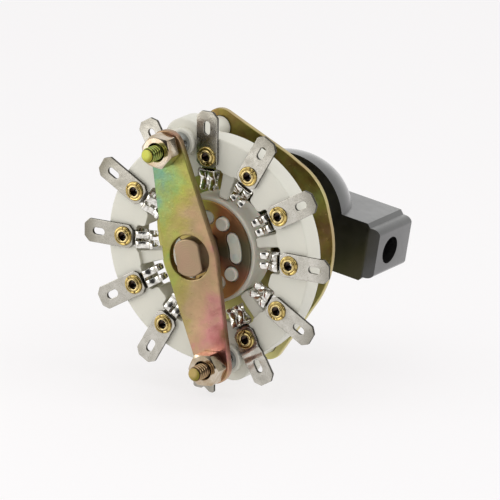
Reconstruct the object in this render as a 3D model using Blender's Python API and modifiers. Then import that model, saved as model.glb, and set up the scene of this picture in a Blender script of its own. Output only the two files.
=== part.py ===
"""Ceramic rotary switch: one wafer of twelve riveted terminals, a yellow zinc rear strap,
an indexed shaft and a black moulded bar knob.

Frame: metres, +Z up. The shaft runs along Y through the origin. y = 0 is the front face of
the front plate, where it seats behind a panel. The knob is on the -Y side and the terminals
and the strap are on the +Y side. Terminal 1 points to +Z.

A clock angle is counted from +Z towards -X, which is clockwise seen from the rear.
"""
import math

import bmesh
import bpy
import numpy as np
from mathutils import Matrix

MM = 0.001

# Clearances: SEAT lies between pieces that rest on each other, FIT around what passes
# through a hole, RUN between the turning pieces and the fixed ones.
SEAT = 0.2 * MM
FIT = 0.3 * MM
RUN = 0.4 * MM

# How far past a face a cutting shape reaches
OVER = 1.0 * MM

# Rotor: radii are built outward from the shaft to the arc windows, the disc and the drum
SHAFT_RADIUS = 5.0 * MM
ARC_FROM_SHAFT = 1.9 * MM
ARC_INNER = SHAFT_RADIUS + ARC_FROM_SHAFT
ARC_WIDE = 4.0 * MM
ARC_OUTER = ARC_INNER + ARC_WIDE
PEG_IN_ARC = 2.5 * MM
PEG_CIRCLE = ARC_INNER + PEG_IN_ARC
DISC_EDGE = 2.5 * MM
DISC_RADIUS = ARC_OUTER + DISC_EDGE
DISC_RIM = 0.8 * MM
DRUM_RADIUS = DISC_RADIUS + DISC_RIM
DRUM_LONG = 8.3 * MM
DRUM_HUB = 8.0 * MM
BLADE_THICK = 0.5 * MM
BLADE_WIDE = 4.6 * MM
BLADE_INNER = 7.0 * MM
BLADE_CHAMFER = 0.8 * MM
BLADE_PAST_PINCH = 1.2 * MM
BLADE_CLOCK = math.radians(180.0)

# Stator wafer: radii are built outward from the drum
WINDOWS = 6
WINDOW_DEEP = 7.4 * MM
WINDOW_RADIUS = DRUM_RADIUS + RUN + WINDOW_DEEP
STATOR_THICK = 6.5 * MM
LAND_HALF_ANGLE = math.radians(6.0)
LAND_ROUND = 1.1 * MM
SPOKE_HALF_ANGLE = math.radians(5.0)
SPOKE_STEP = 1.0 * MM
SPOKE_STEP_BACKSET = 0.5 * MM

# Terminals: each is riveted to the wafer outside the window
TERMINALS = 12
PITCH = math.radians(360.0 / TERMINALS)
RIVET_FROM_WINDOW = 3.2 * MM
RIVET_RADIUS = WINDOW_RADIUS + RIVET_FROM_WINDOW
TAB_WIDTH = 6.3 * MM
TAB_THICK = 0.8 * MM
TAB_INWARD = 2.8 * MM
TAB_OUTWARD = 12.0 * MM
TAB_TIP_CHAMFER = 1.5 * MM
TAB_ROOT_CHAMFER = 1.1 * MM
TAB_SLOT_FROM_TIP = 4.4 * MM
TAB_SLOT_LONG = 3.6 * MM
TAB_SLOT_WIDE = 1.9 * MM
TAB_INNER = RIVET_RADIUS - TAB_INWARD
TAB_TIP = RIVET_RADIUS + TAB_OUTWARD
TAB_SLOT_AT = TAB_TIP - TAB_SLOT_FROM_TIP
EYELET_BORE = 1.1 * MM
EYELET_BARREL = 1.6 * MM
EYELET_FLANGE = 2.6 * MM
EYELET_ROLL = 0.6 * MM

# Wafer's rim and ears
STATOR_RIM = 5.1 * MM
STATOR_RADIUS = RIVET_RADIUS + STATOR_RIM
EAR_RADIUS = 6.2 * MM
EAR_ROOT_RADIUS = 9.0 * MM

# Spring clips: radii are built inward from the window's wall
CLIP_SHEET = 0.35 * MM
CLIP_WIDE = 4.5 * MM
CLIP_SLIT = 0.8 * MM
CLIP_ROOT = WINDOW_RADIUS - FIT - CLIP_SHEET / 2
CLIP_STRAIGHT = 1.3 * MM
CLIP_HUMP = CLIP_ROOT - CLIP_STRAIGHT
CLIP_HUMP_HALF = 1.0 * MM
CLIP_HUMP_TO_PINCH = 2.3 * MM
CLIP_PINCH = CLIP_HUMP - CLIP_HUMP_TO_PINCH
CLIP_PINCH_TO_MOUTH = 1.7 * MM
CLIP_MOUTH = CLIP_PINCH - CLIP_PINCH_TO_MOUTH
CLIP_TAIL_OUTWARD = 2.7 * MM
CLIP_TAIL = RIVET_RADIUS + CLIP_TAIL_OUTWARD
CLIP_FLARE = 0.5 * MM
CLIP_RISE = 0.45 * MM
CLIP_PLAY = 0.25 * MM
BLADE_TIP = CLIP_PINCH + BLADE_PAST_PINCH
LAND_RADIUS = BLADE_TIP + RUN

# Studs and what they hold
STUD_FROM_RIVET = 3.7 * MM
STUD_CIRCLE = RIVET_RADIUS + STUD_FROM_RIVET
STUD_CLOCK = math.radians(-15.0)
STUD_RADIUS = 2.0 * MM
STUD_REACH = 9.1 * MM
STUD_TIP_CHAMFER = 0.5 * MM
STUD_HEAD_RADIUS = 3.4 * MM
NUT_FLATS = 8.0 * MM
NUT_HIGH = 4.7 * MM
SLEEVE_RADIUS = 3.2 * MM
SLEEVE_LONG = 7.0 * MM
SPACER_RADIUS = 3.0 * MM
SPACER_LONG = 11.5 * MM

# Rear strap
STRAP_THICK = 2.0 * MM
STRAP_MIDDLE = 8.1 * MM
STRAP_END = 4.8 * MM
STRAP_BORE = 5.9 * MM

# Front plate and panel bushing
PLATE_THICK = 1.5 * MM
PLATE_RADIUS = 26.9 * MM
PLATE_EAR = 4.95 * MM
BUSHING_RADIUS = 7.0 * MM
BUSHING_REACH = 10.5 * MM
BUSHING_FLANGE = 8.2 * MM
BUSHING_FLANGE_THICK = 0.8 * MM
PANEL_NUT_FLATS = 19.0 * MM
PANEL_NUT_HIGH = 3.0 * MM
WASHER_RADIUS = 9.6 * MM
WASHER_THICK = 0.9 * MM

# Shaft and clamping disc
SHAFT_FLATS = 7.5 * MM
SHAFT_PROUD = 0.8 * MM
SHAFT_FRONT = 14.0 * MM
SHAFT_CHAMFER = 0.6 * MM
SHAFT_CLOCK = math.radians(79.0)
DISC_THICK = 0.8 * MM
PEG_COUNT = 4
PEG_RADIUS = 1.8 * MM
PEG_PROUD = 0.8 * MM
PEG_CLOCK = math.radians(32.5)
BOSS_SHY = 0.15 * MM
ARC_HALF_ANGLE = math.radians(28.0)

# Index work behind the front plate
STEPS = 12
STAR_RADIUS = 11.5 * MM
STAR_NOTCH = 0.8 * MM
STAR_THICK = 2.4 * MM
STAR_HUB = 7.0 * MM
STOP_THICK = 1.4 * MM
STOP_CIRCLE = 10.0 * MM
STOP_HALF_ANGLE = math.radians(15.0)
STOP_PIN_RADIUS = 1.1 * MM
STOP_CLOCK = math.radians(345.0)
INDEX_CLOCK = math.radians(75.0)
INDEX_SHEET = 0.8 * MM
INDEX_SPAN = 12.0 * MM
INDEX_TAIL = 7.0 * MM
INDEX_STANDOFF = 1.5 * MM
POST_RADIUS = 2.0 * MM
POST_EYE = 3.1 * MM
POST_PROUD = 1.0 * MM

# Knob
KNOB_GAP = 14.4 * MM
KNOB_HIGH = 18.0 * MM
KNOB_CLOCK = math.radians(99.0)
DOME_RADIUS = 20.5 * MM
DOME_SKIRT = 2.0 * MM
DOME_RISE = 15.4 * MM
SCREW_MOUTH = 3.7 * MM
BAR_WALL = 1.6 * MM
BAR_NOSE_HALF = SCREW_MOUTH + BAR_WALL
BAR_STEP = 1.1 * MM
BAR_BEND = 1.6 * MM
BAR_HALF = BAR_NOSE_HALF + BAR_BEND + BAR_STEP
BAR_SHOULDER = 27.2 * MM
BAR_TIP = 31.0 * MM
BAR_BACK = 19.5 * MM
BAR_ROUND = 1.0 * MM
BAR_HEEL = 1.3 * MM
KNOB_RECESS_INNER = 10.5 * MM
KNOB_RECESS_OUTER = 17.5 * MM
KNOB_RECESS_DEEP = 2.0 * MM
SCREW_MOUTH_DEEP = 16.0 * MM
SCREW_AT = 7.5 * MM
SCREW_RADIUS = 2.0 * MM
SCREW_LONG = 8.0 * MM
SCREW_SLOT_WIDE = 0.6 * MM
SCREW_SLOT_DEEP = 1.0 * MM

# Planes along the shaft, from the panel seat to the stud ends
PLATE_BACK = PLATE_THICK
STATOR_FRONT = PLATE_BACK + SPACER_LONG
STATOR_BACK = STATOR_FRONT + STATOR_THICK
TAB_FRONT = STATOR_BACK + FIT
TAB_BACK = TAB_FRONT + TAB_THICK
SPOKE_BACK = STATOR_BACK - SPOKE_STEP
BLADE_FRONT = SPOKE_BACK + RUN
BLADE_BACK = BLADE_FRONT + BLADE_THICK
DISC_FRONT = BLADE_BACK + SEAT
DISC_BACK = DISC_FRONT + DISC_THICK
DRUM_BACK = BLADE_BACK
DRUM_FRONT = DRUM_BACK - DRUM_LONG
STRAP_FRONT = STATOR_BACK + SLEEVE_LONG
STRAP_BACK = STRAP_FRONT + STRAP_THICK
STUD_END = STRAP_BACK + STUD_REACH
SHAFT_END = STRAP_BACK + SHAFT_PROUD
KNOB_BACK = -KNOB_GAP
KNOB_FRONT = KNOB_BACK - KNOB_HIGH
SHAFT_TIP = KNOB_BACK - SHAFT_FRONT
FLANGE_BACK = PLATE_BACK + SEAT + BUSHING_FLANGE_THICK
STOP_FRONT = FLANGE_BACK + RUN
STAR_FRONT = STOP_FRONT + STOP_THICK
STAR_BACK = STAR_FRONT + STAR_THICK

# Finishes: base colour, metallic, roughness
FINISHES = {
    "ceramic": ((0.86, 0.86, 0.83), 0.0, 0.3),
    "tin": ((0.62, 0.61, 0.58), 1.0, 0.35),
    "silver": ((0.86, 0.85, 0.83), 1.0, 0.2),
    "brass": ((0.80, 0.62, 0.25), 1.0, 0.25),
    "yellow_zinc": ((0.62, 0.55, 0.32), 1.0, 0.35),
    "zinc": ((0.60, 0.60, 0.58), 1.0, 0.3),
    "nylon": ((0.80, 0.80, 0.77), 0.0, 0.4),
    "phenolic": ((0.02, 0.02, 0.02), 0.0, 0.35),
    "spring_steel": ((0.42, 0.42, 0.42), 1.0, 0.3),
}


def clear_scene():
    """Empty the open file of objects and meshes."""
    for item in list(bpy.data.objects):
        bpy.data.objects.remove(item, do_unlink=True)
    for item in list(bpy.data.collections):
        bpy.data.collections.remove(item)


def new_collection(name):
    """Make a collection under the scene's own."""
    made = bpy.data.collections.new(name)
    bpy.context.scene.collection.children.link(made)
    return made


clear_scene()
PARTS = new_collection("rotary_switch")
CUTTERS = new_collection("cutters")


def finish(name):
    """The material for a finish, made once."""
    made = bpy.data.materials.get(name)
    if made:
        return made
    colour, metallic, roughness = FINISHES[name]
    made = bpy.data.materials.new(name)
    made.use_nodes = True
    shader = made.node_tree.nodes["Principled BSDF"]
    shader.inputs["Base Color"].default_value = (*colour, 1.0)
    shader.inputs["Metallic"].default_value = metallic
    shader.inputs["Roughness"].default_value = roughness
    made.diffuse_color = (*colour, 1.0)
    return made


# Placing

def at_clock(radius, clock):
    """The x and z of a point at a radius and clock angle."""
    return (-radius * math.sin(clock), radius * math.cos(clock))


def turn(clock):
    """The turn about the shaft that takes +Z to a clock angle."""
    return Matrix.Rotation(-clock, 4, "Y")


def place(thing, clock=0.0):
    """Turn a finished piece about the shaft to its clock angle."""
    thing.rotation_euler = (0.0, -clock, 0.0)
    return thing


# Making meshes

def link(mesh, name, group):
    """An object for a mesh, in a collection."""
    thing = bpy.data.objects.new(name, mesh)
    group.objects.link(thing)
    return thing


def frozen_mesh(thing):
    """The mesh an object shows, in world space and with its modifiers applied."""
    bpy.context.view_layer.update()
    graph = bpy.context.evaluated_depsgraph_get()
    mesh = bpy.data.meshes.new_from_object(thing.evaluated_get(graph))
    mesh.transform(thing.matrix_world)
    return mesh


def drop(thing):
    """Remove a helper object."""
    bpy.data.objects.remove(thing, do_unlink=True)


def weld(mesh):
    """Join the loose caps of an extruded curve to its sides and point all faces outward."""
    work = bmesh.new()
    work.from_mesh(mesh)
    bmesh.ops.remove_doubles(work, verts=work.verts, dist=1e-7)
    bmesh.ops.recalc_face_normals(work, faces=work.faces)
    work.to_mesh(mesh)
    work.free()
    return mesh


def slab(outlines, front, back):
    """A flat piece across the shaft: closed outlines of x and z, holes included, from the
    plane y = front to the plane y = back."""
    curve = bpy.data.curves.new("outline", "CURVE")
    curve.dimensions = "2D"
    curve.fill_mode = "BOTH"
    curve.extrude = (back - front) / 2
    for outline in outlines:
        spline = curve.splines.new("POLY")
        spline.points.add(len(outline) - 1)
        flat = [value for x, z in outline for value in (x, z, 0.0, 1.0)]
        spline.points.foreach_set("co", flat)
        spline.use_cyclic_u = True
    thing = bpy.data.objects.new("outline", curve)
    CUTTERS.objects.link(thing)
    thing.rotation_euler = (math.pi / 2, 0.0, 0.0)
    thing.location = (0.0, (front + back) / 2, 0.0)
    mesh = weld(frozen_mesh(thing))
    drop(thing)
    bpy.data.curves.remove(curve)
    return mesh


def turned(profile, segments=32, ring=False, centre=(0.0, 0.0)):
    """A turned piece along Y. The profile lists (radius, y) down its outer side, from the
    rear end to the front end; a ring's profile closes on itself."""
    count = len(profile)
    edges = [(i, i + 1) for i in range(count - 1)]
    if ring:
        edges.append((count - 1, 0))
    mesh = bpy.data.meshes.new("profile")
    mesh.from_pydata([(radius, 0.0, along) for radius, along in profile], edges, [])
    thing = link(mesh, "profile", CUTTERS)
    screw = thing.modifiers.new("screw", "SCREW")
    screw.steps = screw.render_steps = segments
    screw.use_merge_vertices = True
    screw.merge_threshold = 1e-6
    thing.rotation_euler = (-math.pi / 2, 0.0, 0.0)
    thing.location = (centre[0], 0.0, centre[1])
    made = weld(frozen_mesh(thing))
    drop(thing)
    bpy.data.meshes.remove(mesh)
    return made


def box(low, high):
    """A box from its lowest to its highest corner."""
    work = bmesh.new()
    bmesh.ops.create_cube(work, size=1.0)
    size = [high[i] - low[i] for i in range(3)]
    middle = [(high[i] + low[i]) / 2 for i in range(3)]
    bmesh.ops.scale(work, vec=size, verts=work.verts)
    bmesh.ops.translate(work, vec=middle, verts=work.verts)
    mesh = bpy.data.meshes.new("box")
    work.to_mesh(mesh)
    work.free()
    return mesh


def together(meshes):
    """Several meshes that don't meet, as one."""
    work = bmesh.new()
    for mesh in meshes:
        work.from_mesh(mesh)
    made = bpy.data.meshes.new("together")
    work.to_mesh(made)
    work.free()
    return made


def moved(mesh, matrix):
    """A copy of a mesh after a move or a turn."""
    made = mesh.copy()
    made.transform(matrix)
    return made


def carve(mesh, tool, operation="DIFFERENCE"):
    """One mesh cut by another, or joined to it."""
    body = link(mesh, "body", CUTTERS)
    cutter = link(tool, "cutter", CUTTERS)
    cutter.hide_render = True
    cutter.display_type = "WIRE"
    change = body.modifiers.new("cut", "BOOLEAN")
    change.operation = operation
    change.solver = "EXACT"
    change.object = cutter
    made = weld(frozen_mesh(body))
    drop(body)
    drop(cutter)
    return made


def piece(name, mesh, finish_name, clock=0.0, smooth=False):
    """A named sub-part with its finish."""
    thing = link(mesh, name, PARTS)
    mesh.materials.clear()
    mesh.materials.append(finish(finish_name))
    if smooth:
        mesh.shade_smooth()
        mesh.set_sharp_from_angle(angle=math.radians(35))
    return place(thing, clock)


# Outlines

def circle(radius, count, centre=(0.0, 0.0), phase=0.0):
    """A circle's points."""
    steps = phase + np.arange(count) * 2 * math.pi / count
    return [(centre[0] - radius * math.sin(a), centre[1] + radius * math.cos(a)) for a in steps]


def arc(radius, start, stop, count):
    """Points on an arc about the shaft between two clock angles."""
    return [at_clock(radius, a) for a in np.linspace(start, stop, count)]


def hexagon(flats, centre=(0.0, 0.0), phase=0.0):
    """A hexagon by its width across flats."""
    return circle(flats / math.sqrt(3), 6, centre, phase)


def hull(rounds, count):
    """The taut loop around several circles (x, z, radius): at each direction, the point of
    the circle that reaches furthest that way."""
    points = []
    for a in np.arange(count) * 2 * math.pi / count:
        way = (-math.sin(a), math.cos(a))
        reach = [x * way[0] + z * way[1] + r for x, z, r in rounds]
        x, z, r = rounds[int(np.argmax(reach))]
        points.append((x + r * way[0], z + r * way[1]))
    return points


def reach_of(rounds, clock, radii):
    """How far from the shaft a hull of circles reaches at a clock angle."""
    way = at_clock(1.0, clock)
    inside = [s for s in radii if any(
        math.hypot(s * way[0] - x, s * way[1] - z) <= r for x, z, r in rounds)]
    return max(inside, default=0.0)


def stud_places():
    """The x and z of the two studs, upper first."""
    return [at_clock(STUD_CIRCLE, STUD_CLOCK), at_clock(STUD_CIRCLE, STUD_CLOCK + math.pi)]


def strip_sides(path, thickness):
    """The two sides of a bent strip that follows a path: each point is moved half the
    thickness along the path's normal there."""
    points = np.array(path)
    along = np.gradient(points, axis=0)
    along /= np.linalg.norm(along, axis=1)[:, None]
    normal = np.stack([-along[:, 1], along[:, 0]], axis=1)
    half = normal * thickness / 2
    return (points + half).tolist(), (points - half).tolist()


# Ceramic wafer

def stator_outline():
    """The wafer's edge: a circle, or an ear's flank where that reaches further."""
    steps = 120
    ear = [(0.0, 0.0, EAR_ROOT_RADIUS)]
    flank = np.linspace(0.0, 1.0, 24)
    for x, z in stud_places():
        ear += [(x * t, z * t, EAR_ROOT_RADIUS + (EAR_RADIUS - EAR_ROOT_RADIUS) * t) for t in flank]
    radii = np.arange(STATOR_RADIUS, STUD_CIRCLE + EAR_RADIUS + 0.1 * MM, 0.05 * MM)
    points = []
    for i in range(steps):
        clock = STUD_CLOCK + 2 * math.pi * i / steps
        points.append(at_clock(max(STATOR_RADIUS, reach_of(ear, clock, radii)), clock))
    return points


def land_outline(middle):
    """The inner end of a land: flanks out to the windows' radius and rounded corners."""
    tip = LAND_RADIUS + LAND_ROUND
    flat = LAND_HALF_ANGLE - LAND_ROUND / tip
    points = []
    for side in (-1, 1):
        x, z = at_clock(tip, middle + side * flat)
        corner = []
        for a in np.linspace(0.0, math.pi / 2, 4):
            spin = middle + side * flat
            inward, across = LAND_ROUND * math.sin(a), side * LAND_ROUND * math.cos(a)
            corner.append((x + inward * math.sin(spin) - across * math.cos(spin),
                           z - inward * math.cos(spin) - across * math.sin(spin)))
        points += corner if side < 0 else corner[::-1]
    return points


def window_outline():
    """The wafer's middle: a round hole for the rotor with a window between each two spokes.
    A window holds two clip pockets, with a land of ceramic between them."""
    bore = DRUM_RADIUS + RUN
    share = 2 * math.pi / WINDOWS
    points = []
    for i in range(WINDOWS):
        middle = PITCH * 1.5 + share * i
        low = middle - share / 2 + SPOKE_HALF_ANGLE
        high = middle + share / 2 - SPOKE_HALF_ANGLE
        points += arc(bore, middle - share / 2, low, 3)
        points += arc(WINDOW_RADIUS, low, middle - LAND_HALF_ANGLE, 4)
        points += land_outline(middle)
        points += arc(WINDOW_RADIUS, middle + LAND_HALF_ANGLE, high, 4)
        points += [at_clock(bore, high)]
    return points


def spoke_steps(back):
    """What is taken off the spokes' rear faces so that the blade can pass: one sector each."""
    share = 2 * math.pi / WINDOWS
    half = 1.4 * SPOKE_HALF_ANGLE
    sectors = []
    for i in range(WINDOWS):
        middle = share * i + PITCH / 2
        sector = [at_clock(0.5 * DRUM_RADIUS, middle)]
        sector += arc(WINDOW_RADIUS - SPOKE_STEP_BACKSET, middle - half, middle + half, 5)
        sectors.append(slab([sector], SPOKE_BACK, back))
    return together(sectors)


def make_stator():
    """The white wafer: a slab with its holes, lowered spokes and a groove under each tab."""
    holes = [circle(EYELET_BARREL + FIT, 10, at_clock(RIVET_RADIUS, PITCH * n))
             for n in range(TERMINALS)]
    holes += [circle(STUD_RADIUS + FIT, 12, spot) for spot in stud_places()]
    mesh = slab([stator_outline(), window_outline()] + holes, STATOR_FRONT, STATOR_BACK)
    over = STATOR_BACK + OVER
    mesh = carve(mesh, spoke_steps(over))
    half = CLIP_WIDE / 2 + FIT
    groove = box((-half, TAIL_FRONT - SEAT, LAND_RADIUS),
                 (half, over, CLIP_TAIL + FIT))
    grooves = together([moved(groove, turn(PITCH * n)) for n in range(TERMINALS)])
    return piece("stator_wafer", carve(mesh, grooves), "ceramic")


# Terminals

def tab_mesh():
    """One flat tab along +Z with a chamfered tip, a wire slot and the eyelet's hole."""
    half = TAB_WIDTH / 2
    tip, root = TAB_TIP_CHAMFER, TAB_ROOT_CHAMFER
    outline = [(-half + root, TAB_INNER), (half - root, TAB_INNER), (half, TAB_INNER + root),
               (half, TAB_TIP - tip), (half - tip, TAB_TIP), (-half + tip, TAB_TIP),
               (-half, TAB_TIP - tip), (-half, TAB_INNER + root)]
    run = (TAB_SLOT_LONG - TAB_SLOT_WIDE) / 2
    slot = hull([(0.0, TAB_SLOT_AT - run, TAB_SLOT_WIDE / 2),
                 (0.0, TAB_SLOT_AT + run, TAB_SLOT_WIDE / 2)], 12)
    hole = circle(EYELET_BARREL + FIT, 10, (0.0, RIVET_RADIUS))
    return slab([outline, slot, hole], TAB_FRONT, TAB_BACK)


def eyelet_mesh():
    """One brass eyelet, rolled over the tab at the rear and over the wafer at the front."""
    rear = TAB_BACK + SEAT
    front = STATOR_FRONT - SEAT
    roll = EYELET_ROLL
    lip = (EYELET_FLANGE + EYELET_BORE) / 2
    profile = [(EYELET_BORE, rear + roll * 0.6), (lip, rear + roll), (EYELET_FLANGE, rear),
               (EYELET_BARREL, rear), (EYELET_BARREL, front), (EYELET_FLANGE, front),
               (EYELET_BARREL, front - roll), (EYELET_BORE, front - roll)]
    return turned(profile, 12, ring=True, centre=(0.0, RIVET_RADIUS))


TAIL_FRONT = TAB_FRONT - SEAT - CLIP_SHEET


def clip_mesh():
    """One spring clip along +Z, bent from strip: a tail under the tab, a root, and a rear
    and a front leaf that pinch the plane of the blade and flare at the mouth. A slit makes
    two fingers of each leaf."""
    half = CLIP_SHEET / 2
    rear = BLADE_BACK + CLIP_PLAY + half
    front = BLADE_FRONT - CLIP_PLAY - half
    rear_root = rear + CLIP_RISE * 0.3
    front_root = front - CLIP_RISE
    reach = [CLIP_ROOT, CLIP_HUMP + 0.9 * CLIP_HUMP_HALF, CLIP_HUMP, CLIP_HUMP - CLIP_HUMP_HALF,
             CLIP_PINCH, (CLIP_PINCH + CLIP_MOUTH) / 2, CLIP_MOUTH]
    lift = [0.3, 0.85, 1.0, 0.75, 0.0, 0.15, CLIP_FLARE / CLIP_RISE]
    rear_path = [(r, rear + CLIP_RISE * k) for r, k in zip(reach, lift)]
    front_path = [(r, front - CLIP_RISE * max(k, 0.0)) for r, k in zip(reach, lift)]
    front_path[0] = (CLIP_ROOT, front_root)
    rear_out, rear_in = strip_sides(rear_path, -CLIP_SHEET)
    front_out, front_in = strip_sides(front_path, CLIP_SHEET)
    back_wall = CLIP_ROOT + half
    tail = [(back_wall, TAIL_FRONT), (CLIP_TAIL, TAIL_FRONT),
            (CLIP_TAIL, TAIL_FRONT + CLIP_SHEET), (back_wall, TAIL_FRONT + CLIP_SHEET)]
    inner_wall = CLIP_ROOT - half
    loop = tail + [(back_wall, rear_root + half)] + rear_out[1:] + rear_in[:0:-1]
    loop += [(inner_wall, rear_root - half), (inner_wall, front_root + half)]
    loop += front_in[1:] + front_out[:0:-1] + [(back_wall, front_root - half)]
    # The loop is drawn with depth as x and reach as z, extruded, and turned to lie along +Z.
    flat = slab([[(y, r) for r, y in loop]], -CLIP_WIDE / 2, CLIP_WIDE / 2)
    flat.transform(Matrix(((0, 1, 0, 0), (1, 0, 0, 0), (0, 0, 1, 0), (0, 0, 0, 1))))
    flat = weld(flat)
    beyond = CLIP_RISE + CLIP_FLARE + OVER
    slit = box((-CLIP_SLIT / 2, front - beyond, CLIP_MOUTH - OVER),
               (CLIP_SLIT / 2, rear + beyond, CLIP_HUMP + CLIP_HUMP_HALF / 2))
    hole = turned([(0.0, TAB_BACK), (EYELET_BARREL + FIT, TAB_BACK),
                   (EYELET_BARREL + FIT, STATOR_FRONT), (0.0, STATOR_FRONT)], 10,
                  centre=(0.0, RIVET_RADIUS))
    return carve(carve(flat, slit), hole)


def make_terminals():
    """Twelve tabs, clips and eyelets, one of each at every clock position."""
    tab, clip, eyelet = tab_mesh(), clip_mesh(), eyelet_mesh()
    for n in range(TERMINALS):
        label = f"{n + 1:02d}"
        piece("tab_" + label, tab, "tin", PITCH * n)
        piece("clip_" + label, clip, "silver", PITCH * n)
        piece("eyelet_" + label, eyelet, "brass", PITCH * n, smooth=True)


# Strap, studs, sleeves, nuts

def strap_outline():
    """The strap: a wide middle and two narrow round ends."""
    rounds = [(0.0, 0.0, STRAP_MIDDLE)] + [(x, z, STRAP_END) for x, z in stud_places()]
    return hull(rounds, 48)


def tube(outer, inner, front, back, centre, segments=14):
    """A plain tube along Y."""
    profile = [(inner, back), (outer, back), (outer, front), (inner, front)]
    return turned(profile, segments, ring=True, centre=centre)


def nut_mesh(flats, bore, front, back, centre, phase, segments=14):
    """A hexagon nut whose corners are turned down on the rear and front faces."""
    mesh = slab([hexagon(flats, centre, phase), circle(bore, segments, centre)], front, back)
    corner = flats / math.sqrt(3)
    bevel = (corner - flats / 2) * 0.6
    gauge = turned([(0.0, back), (flats / 2, back), (corner, back - bevel),
                    (corner, front + bevel), (flats / 2, front), (0.0, front)], 18, centre=centre)
    return carve(mesh, gauge, "INTERSECT")


def make_frame_hardware():
    """The strap and what holds it: for each stud a sleeve, a spacer and a nut."""
    places = stud_places()
    holes = [circle(STUD_RADIUS + FIT, 14, spot) for spot in places]
    strap = slab([strap_outline(), circle(STRAP_BORE, 32)] + holes, STRAP_FRONT, STRAP_BACK)
    piece("rear_strap", strap, "yellow_zinc")
    for label, spot, phase in (("upper", places[0], 0.35), ("lower", places[1], 0.1)):
        sink = STUD_HEAD_RADIUS - STUD_RADIUS
        stud = turned([(0.0, STUD_END), (STUD_RADIUS - STUD_TIP_CHAMFER, STUD_END),
                       (STUD_RADIUS, STUD_END - STUD_TIP_CHAMFER), (STUD_RADIUS, SEAT + sink * 0.7),
                       (STUD_HEAD_RADIUS, SEAT), (0.0, SEAT)], 14, centre=spot)
        piece("stud_" + label, stud, "yellow_zinc", smooth=True)
        sleeve = tube(SLEEVE_RADIUS, STUD_RADIUS + FIT, STATOR_BACK + SEAT,
                      STRAP_FRONT - SEAT, spot)
        piece("sleeve_" + label, sleeve, "zinc", smooth=True)
        spacer = tube(SPACER_RADIUS, STUD_RADIUS + FIT, PLATE_BACK + SEAT,
                      STATOR_FRONT - SEAT, spot)
        piece("spacer_" + label, spacer, "ceramic", smooth=True)
        nut = nut_mesh(NUT_FLATS, STUD_RADIUS + FIT, STRAP_BACK + SEAT,
                       STRAP_BACK + SEAT + NUT_HIGH, spot, phase)
        piece("stud_nut_" + label, nut, "zinc")


# Front plate, bushing, panel nut

def post_place():
    """The x and z of the index spring's post."""
    x, z = INDEX_SPAN, index_line()
    turned_back = turn(INDEX_CLOCK) @ Matrix.Translation((x, 0.0, z))
    spot = turned_back.translation
    return (spot.x, spot.z)


def index_line():
    """How far from the shaft the index spring's strip runs."""
    return STAR_RADIUS + RUN + INDEX_STANDOFF


def make_front_plate():
    """The yellow plate that seats behind the panel, with the holes for what it carries."""
    places = stud_places()
    rounds = [(0.0, 0.0, PLATE_RADIUS)] + [(x, z, PLATE_EAR) for x, z in places]
    stop = at_clock(STOP_CIRCLE, STOP_CLOCK)
    holes = [circle(BUSHING_RADIUS + FIT, 28)]
    holes += [circle(STUD_RADIUS + FIT, 14, spot) for spot in places]
    holes += [circle(STOP_PIN_RADIUS + FIT, 12, stop), circle(POST_RADIUS + FIT, 16, post_place())]
    mesh = slab([hull(rounds, 64)] + holes, 0.0, PLATE_BACK)
    sink = STUD_HEAD_RADIUS - STUD_RADIUS
    top = STUD_HEAD_RADIUS + FIT
    cones = together([turned([(0.0, sink), (STUD_RADIUS + FIT, sink), (top, 0.0),
                              (top, -OVER), (0.0, -OVER)], 14, centre=spot)
                      for spot in places])
    piece("front_plate", carve(mesh, cones), "yellow_zinc")


def make_bushing():
    """The threaded bushing with its flange behind the plate, a washer and the panel nut."""
    bore = SHAFT_RADIUS + RUN / 2
    flange = PLATE_BACK + SEAT
    profile = [(bore, FLANGE_BACK), (BUSHING_FLANGE, FLANGE_BACK), (BUSHING_FLANGE, flange),
               (BUSHING_RADIUS, flange), (BUSHING_RADIUS, -BUSHING_REACH + 0.6 * MM),
               (BUSHING_RADIUS - 0.6 * MM, -BUSHING_REACH), (bore, -BUSHING_REACH)]
    piece("panel_bushing", turned(profile, 28, ring=True), "zinc", smooth=True)
    inner = BUSHING_RADIUS + FIT
    washer = tube(WASHER_RADIUS, inner, -SEAT - WASHER_THICK, -SEAT, (0.0, 0.0), 28)
    piece("panel_washer", washer, "zinc", smooth=True)
    back = -2 * SEAT - WASHER_THICK
    nut = nut_mesh(PANEL_NUT_FLATS, inner, back - PANEL_NUT_HIGH, back, (0.0, 0.0), 0.2, 28)
    piece("panel_nut", nut, "zinc")


# Index work

def star_outline():
    """The index wheel's edge: its radius dips by half a cosine between each two lobes."""
    points = []
    for i in range(STEPS * 4):
        a = INDEX_CLOCK + 2 * math.pi * i / (STEPS * 4)
        dip = STAR_NOTCH * (0.5 + 0.5 * math.cos(STEPS * (a - INDEX_CLOCK)))
        points.append(at_clock(STAR_RADIUS - dip, a))
    return points


def flats_outline(clearance):
    """The shaft's section with its two flats, let out by a clearance."""
    radius = SHAFT_RADIUS + clearance
    half = SHAFT_FLATS / 2 + clearance
    edge = math.acos(half / radius)
    way = SHAFT_CLOCK
    points = arc(radius, way + edge, way + math.pi - edge, 9)
    return points + arc(radius, way + math.pi + edge, way + 2 * math.pi - edge, 9)


def stop_lug_half():
    """Half the stop lug's width, so that lug and pin meet at both ends of the travel."""
    return STOP_CIRCLE * math.sin(STOP_HALF_ANGLE) - STOP_PIN_RADIUS - FIT


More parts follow.
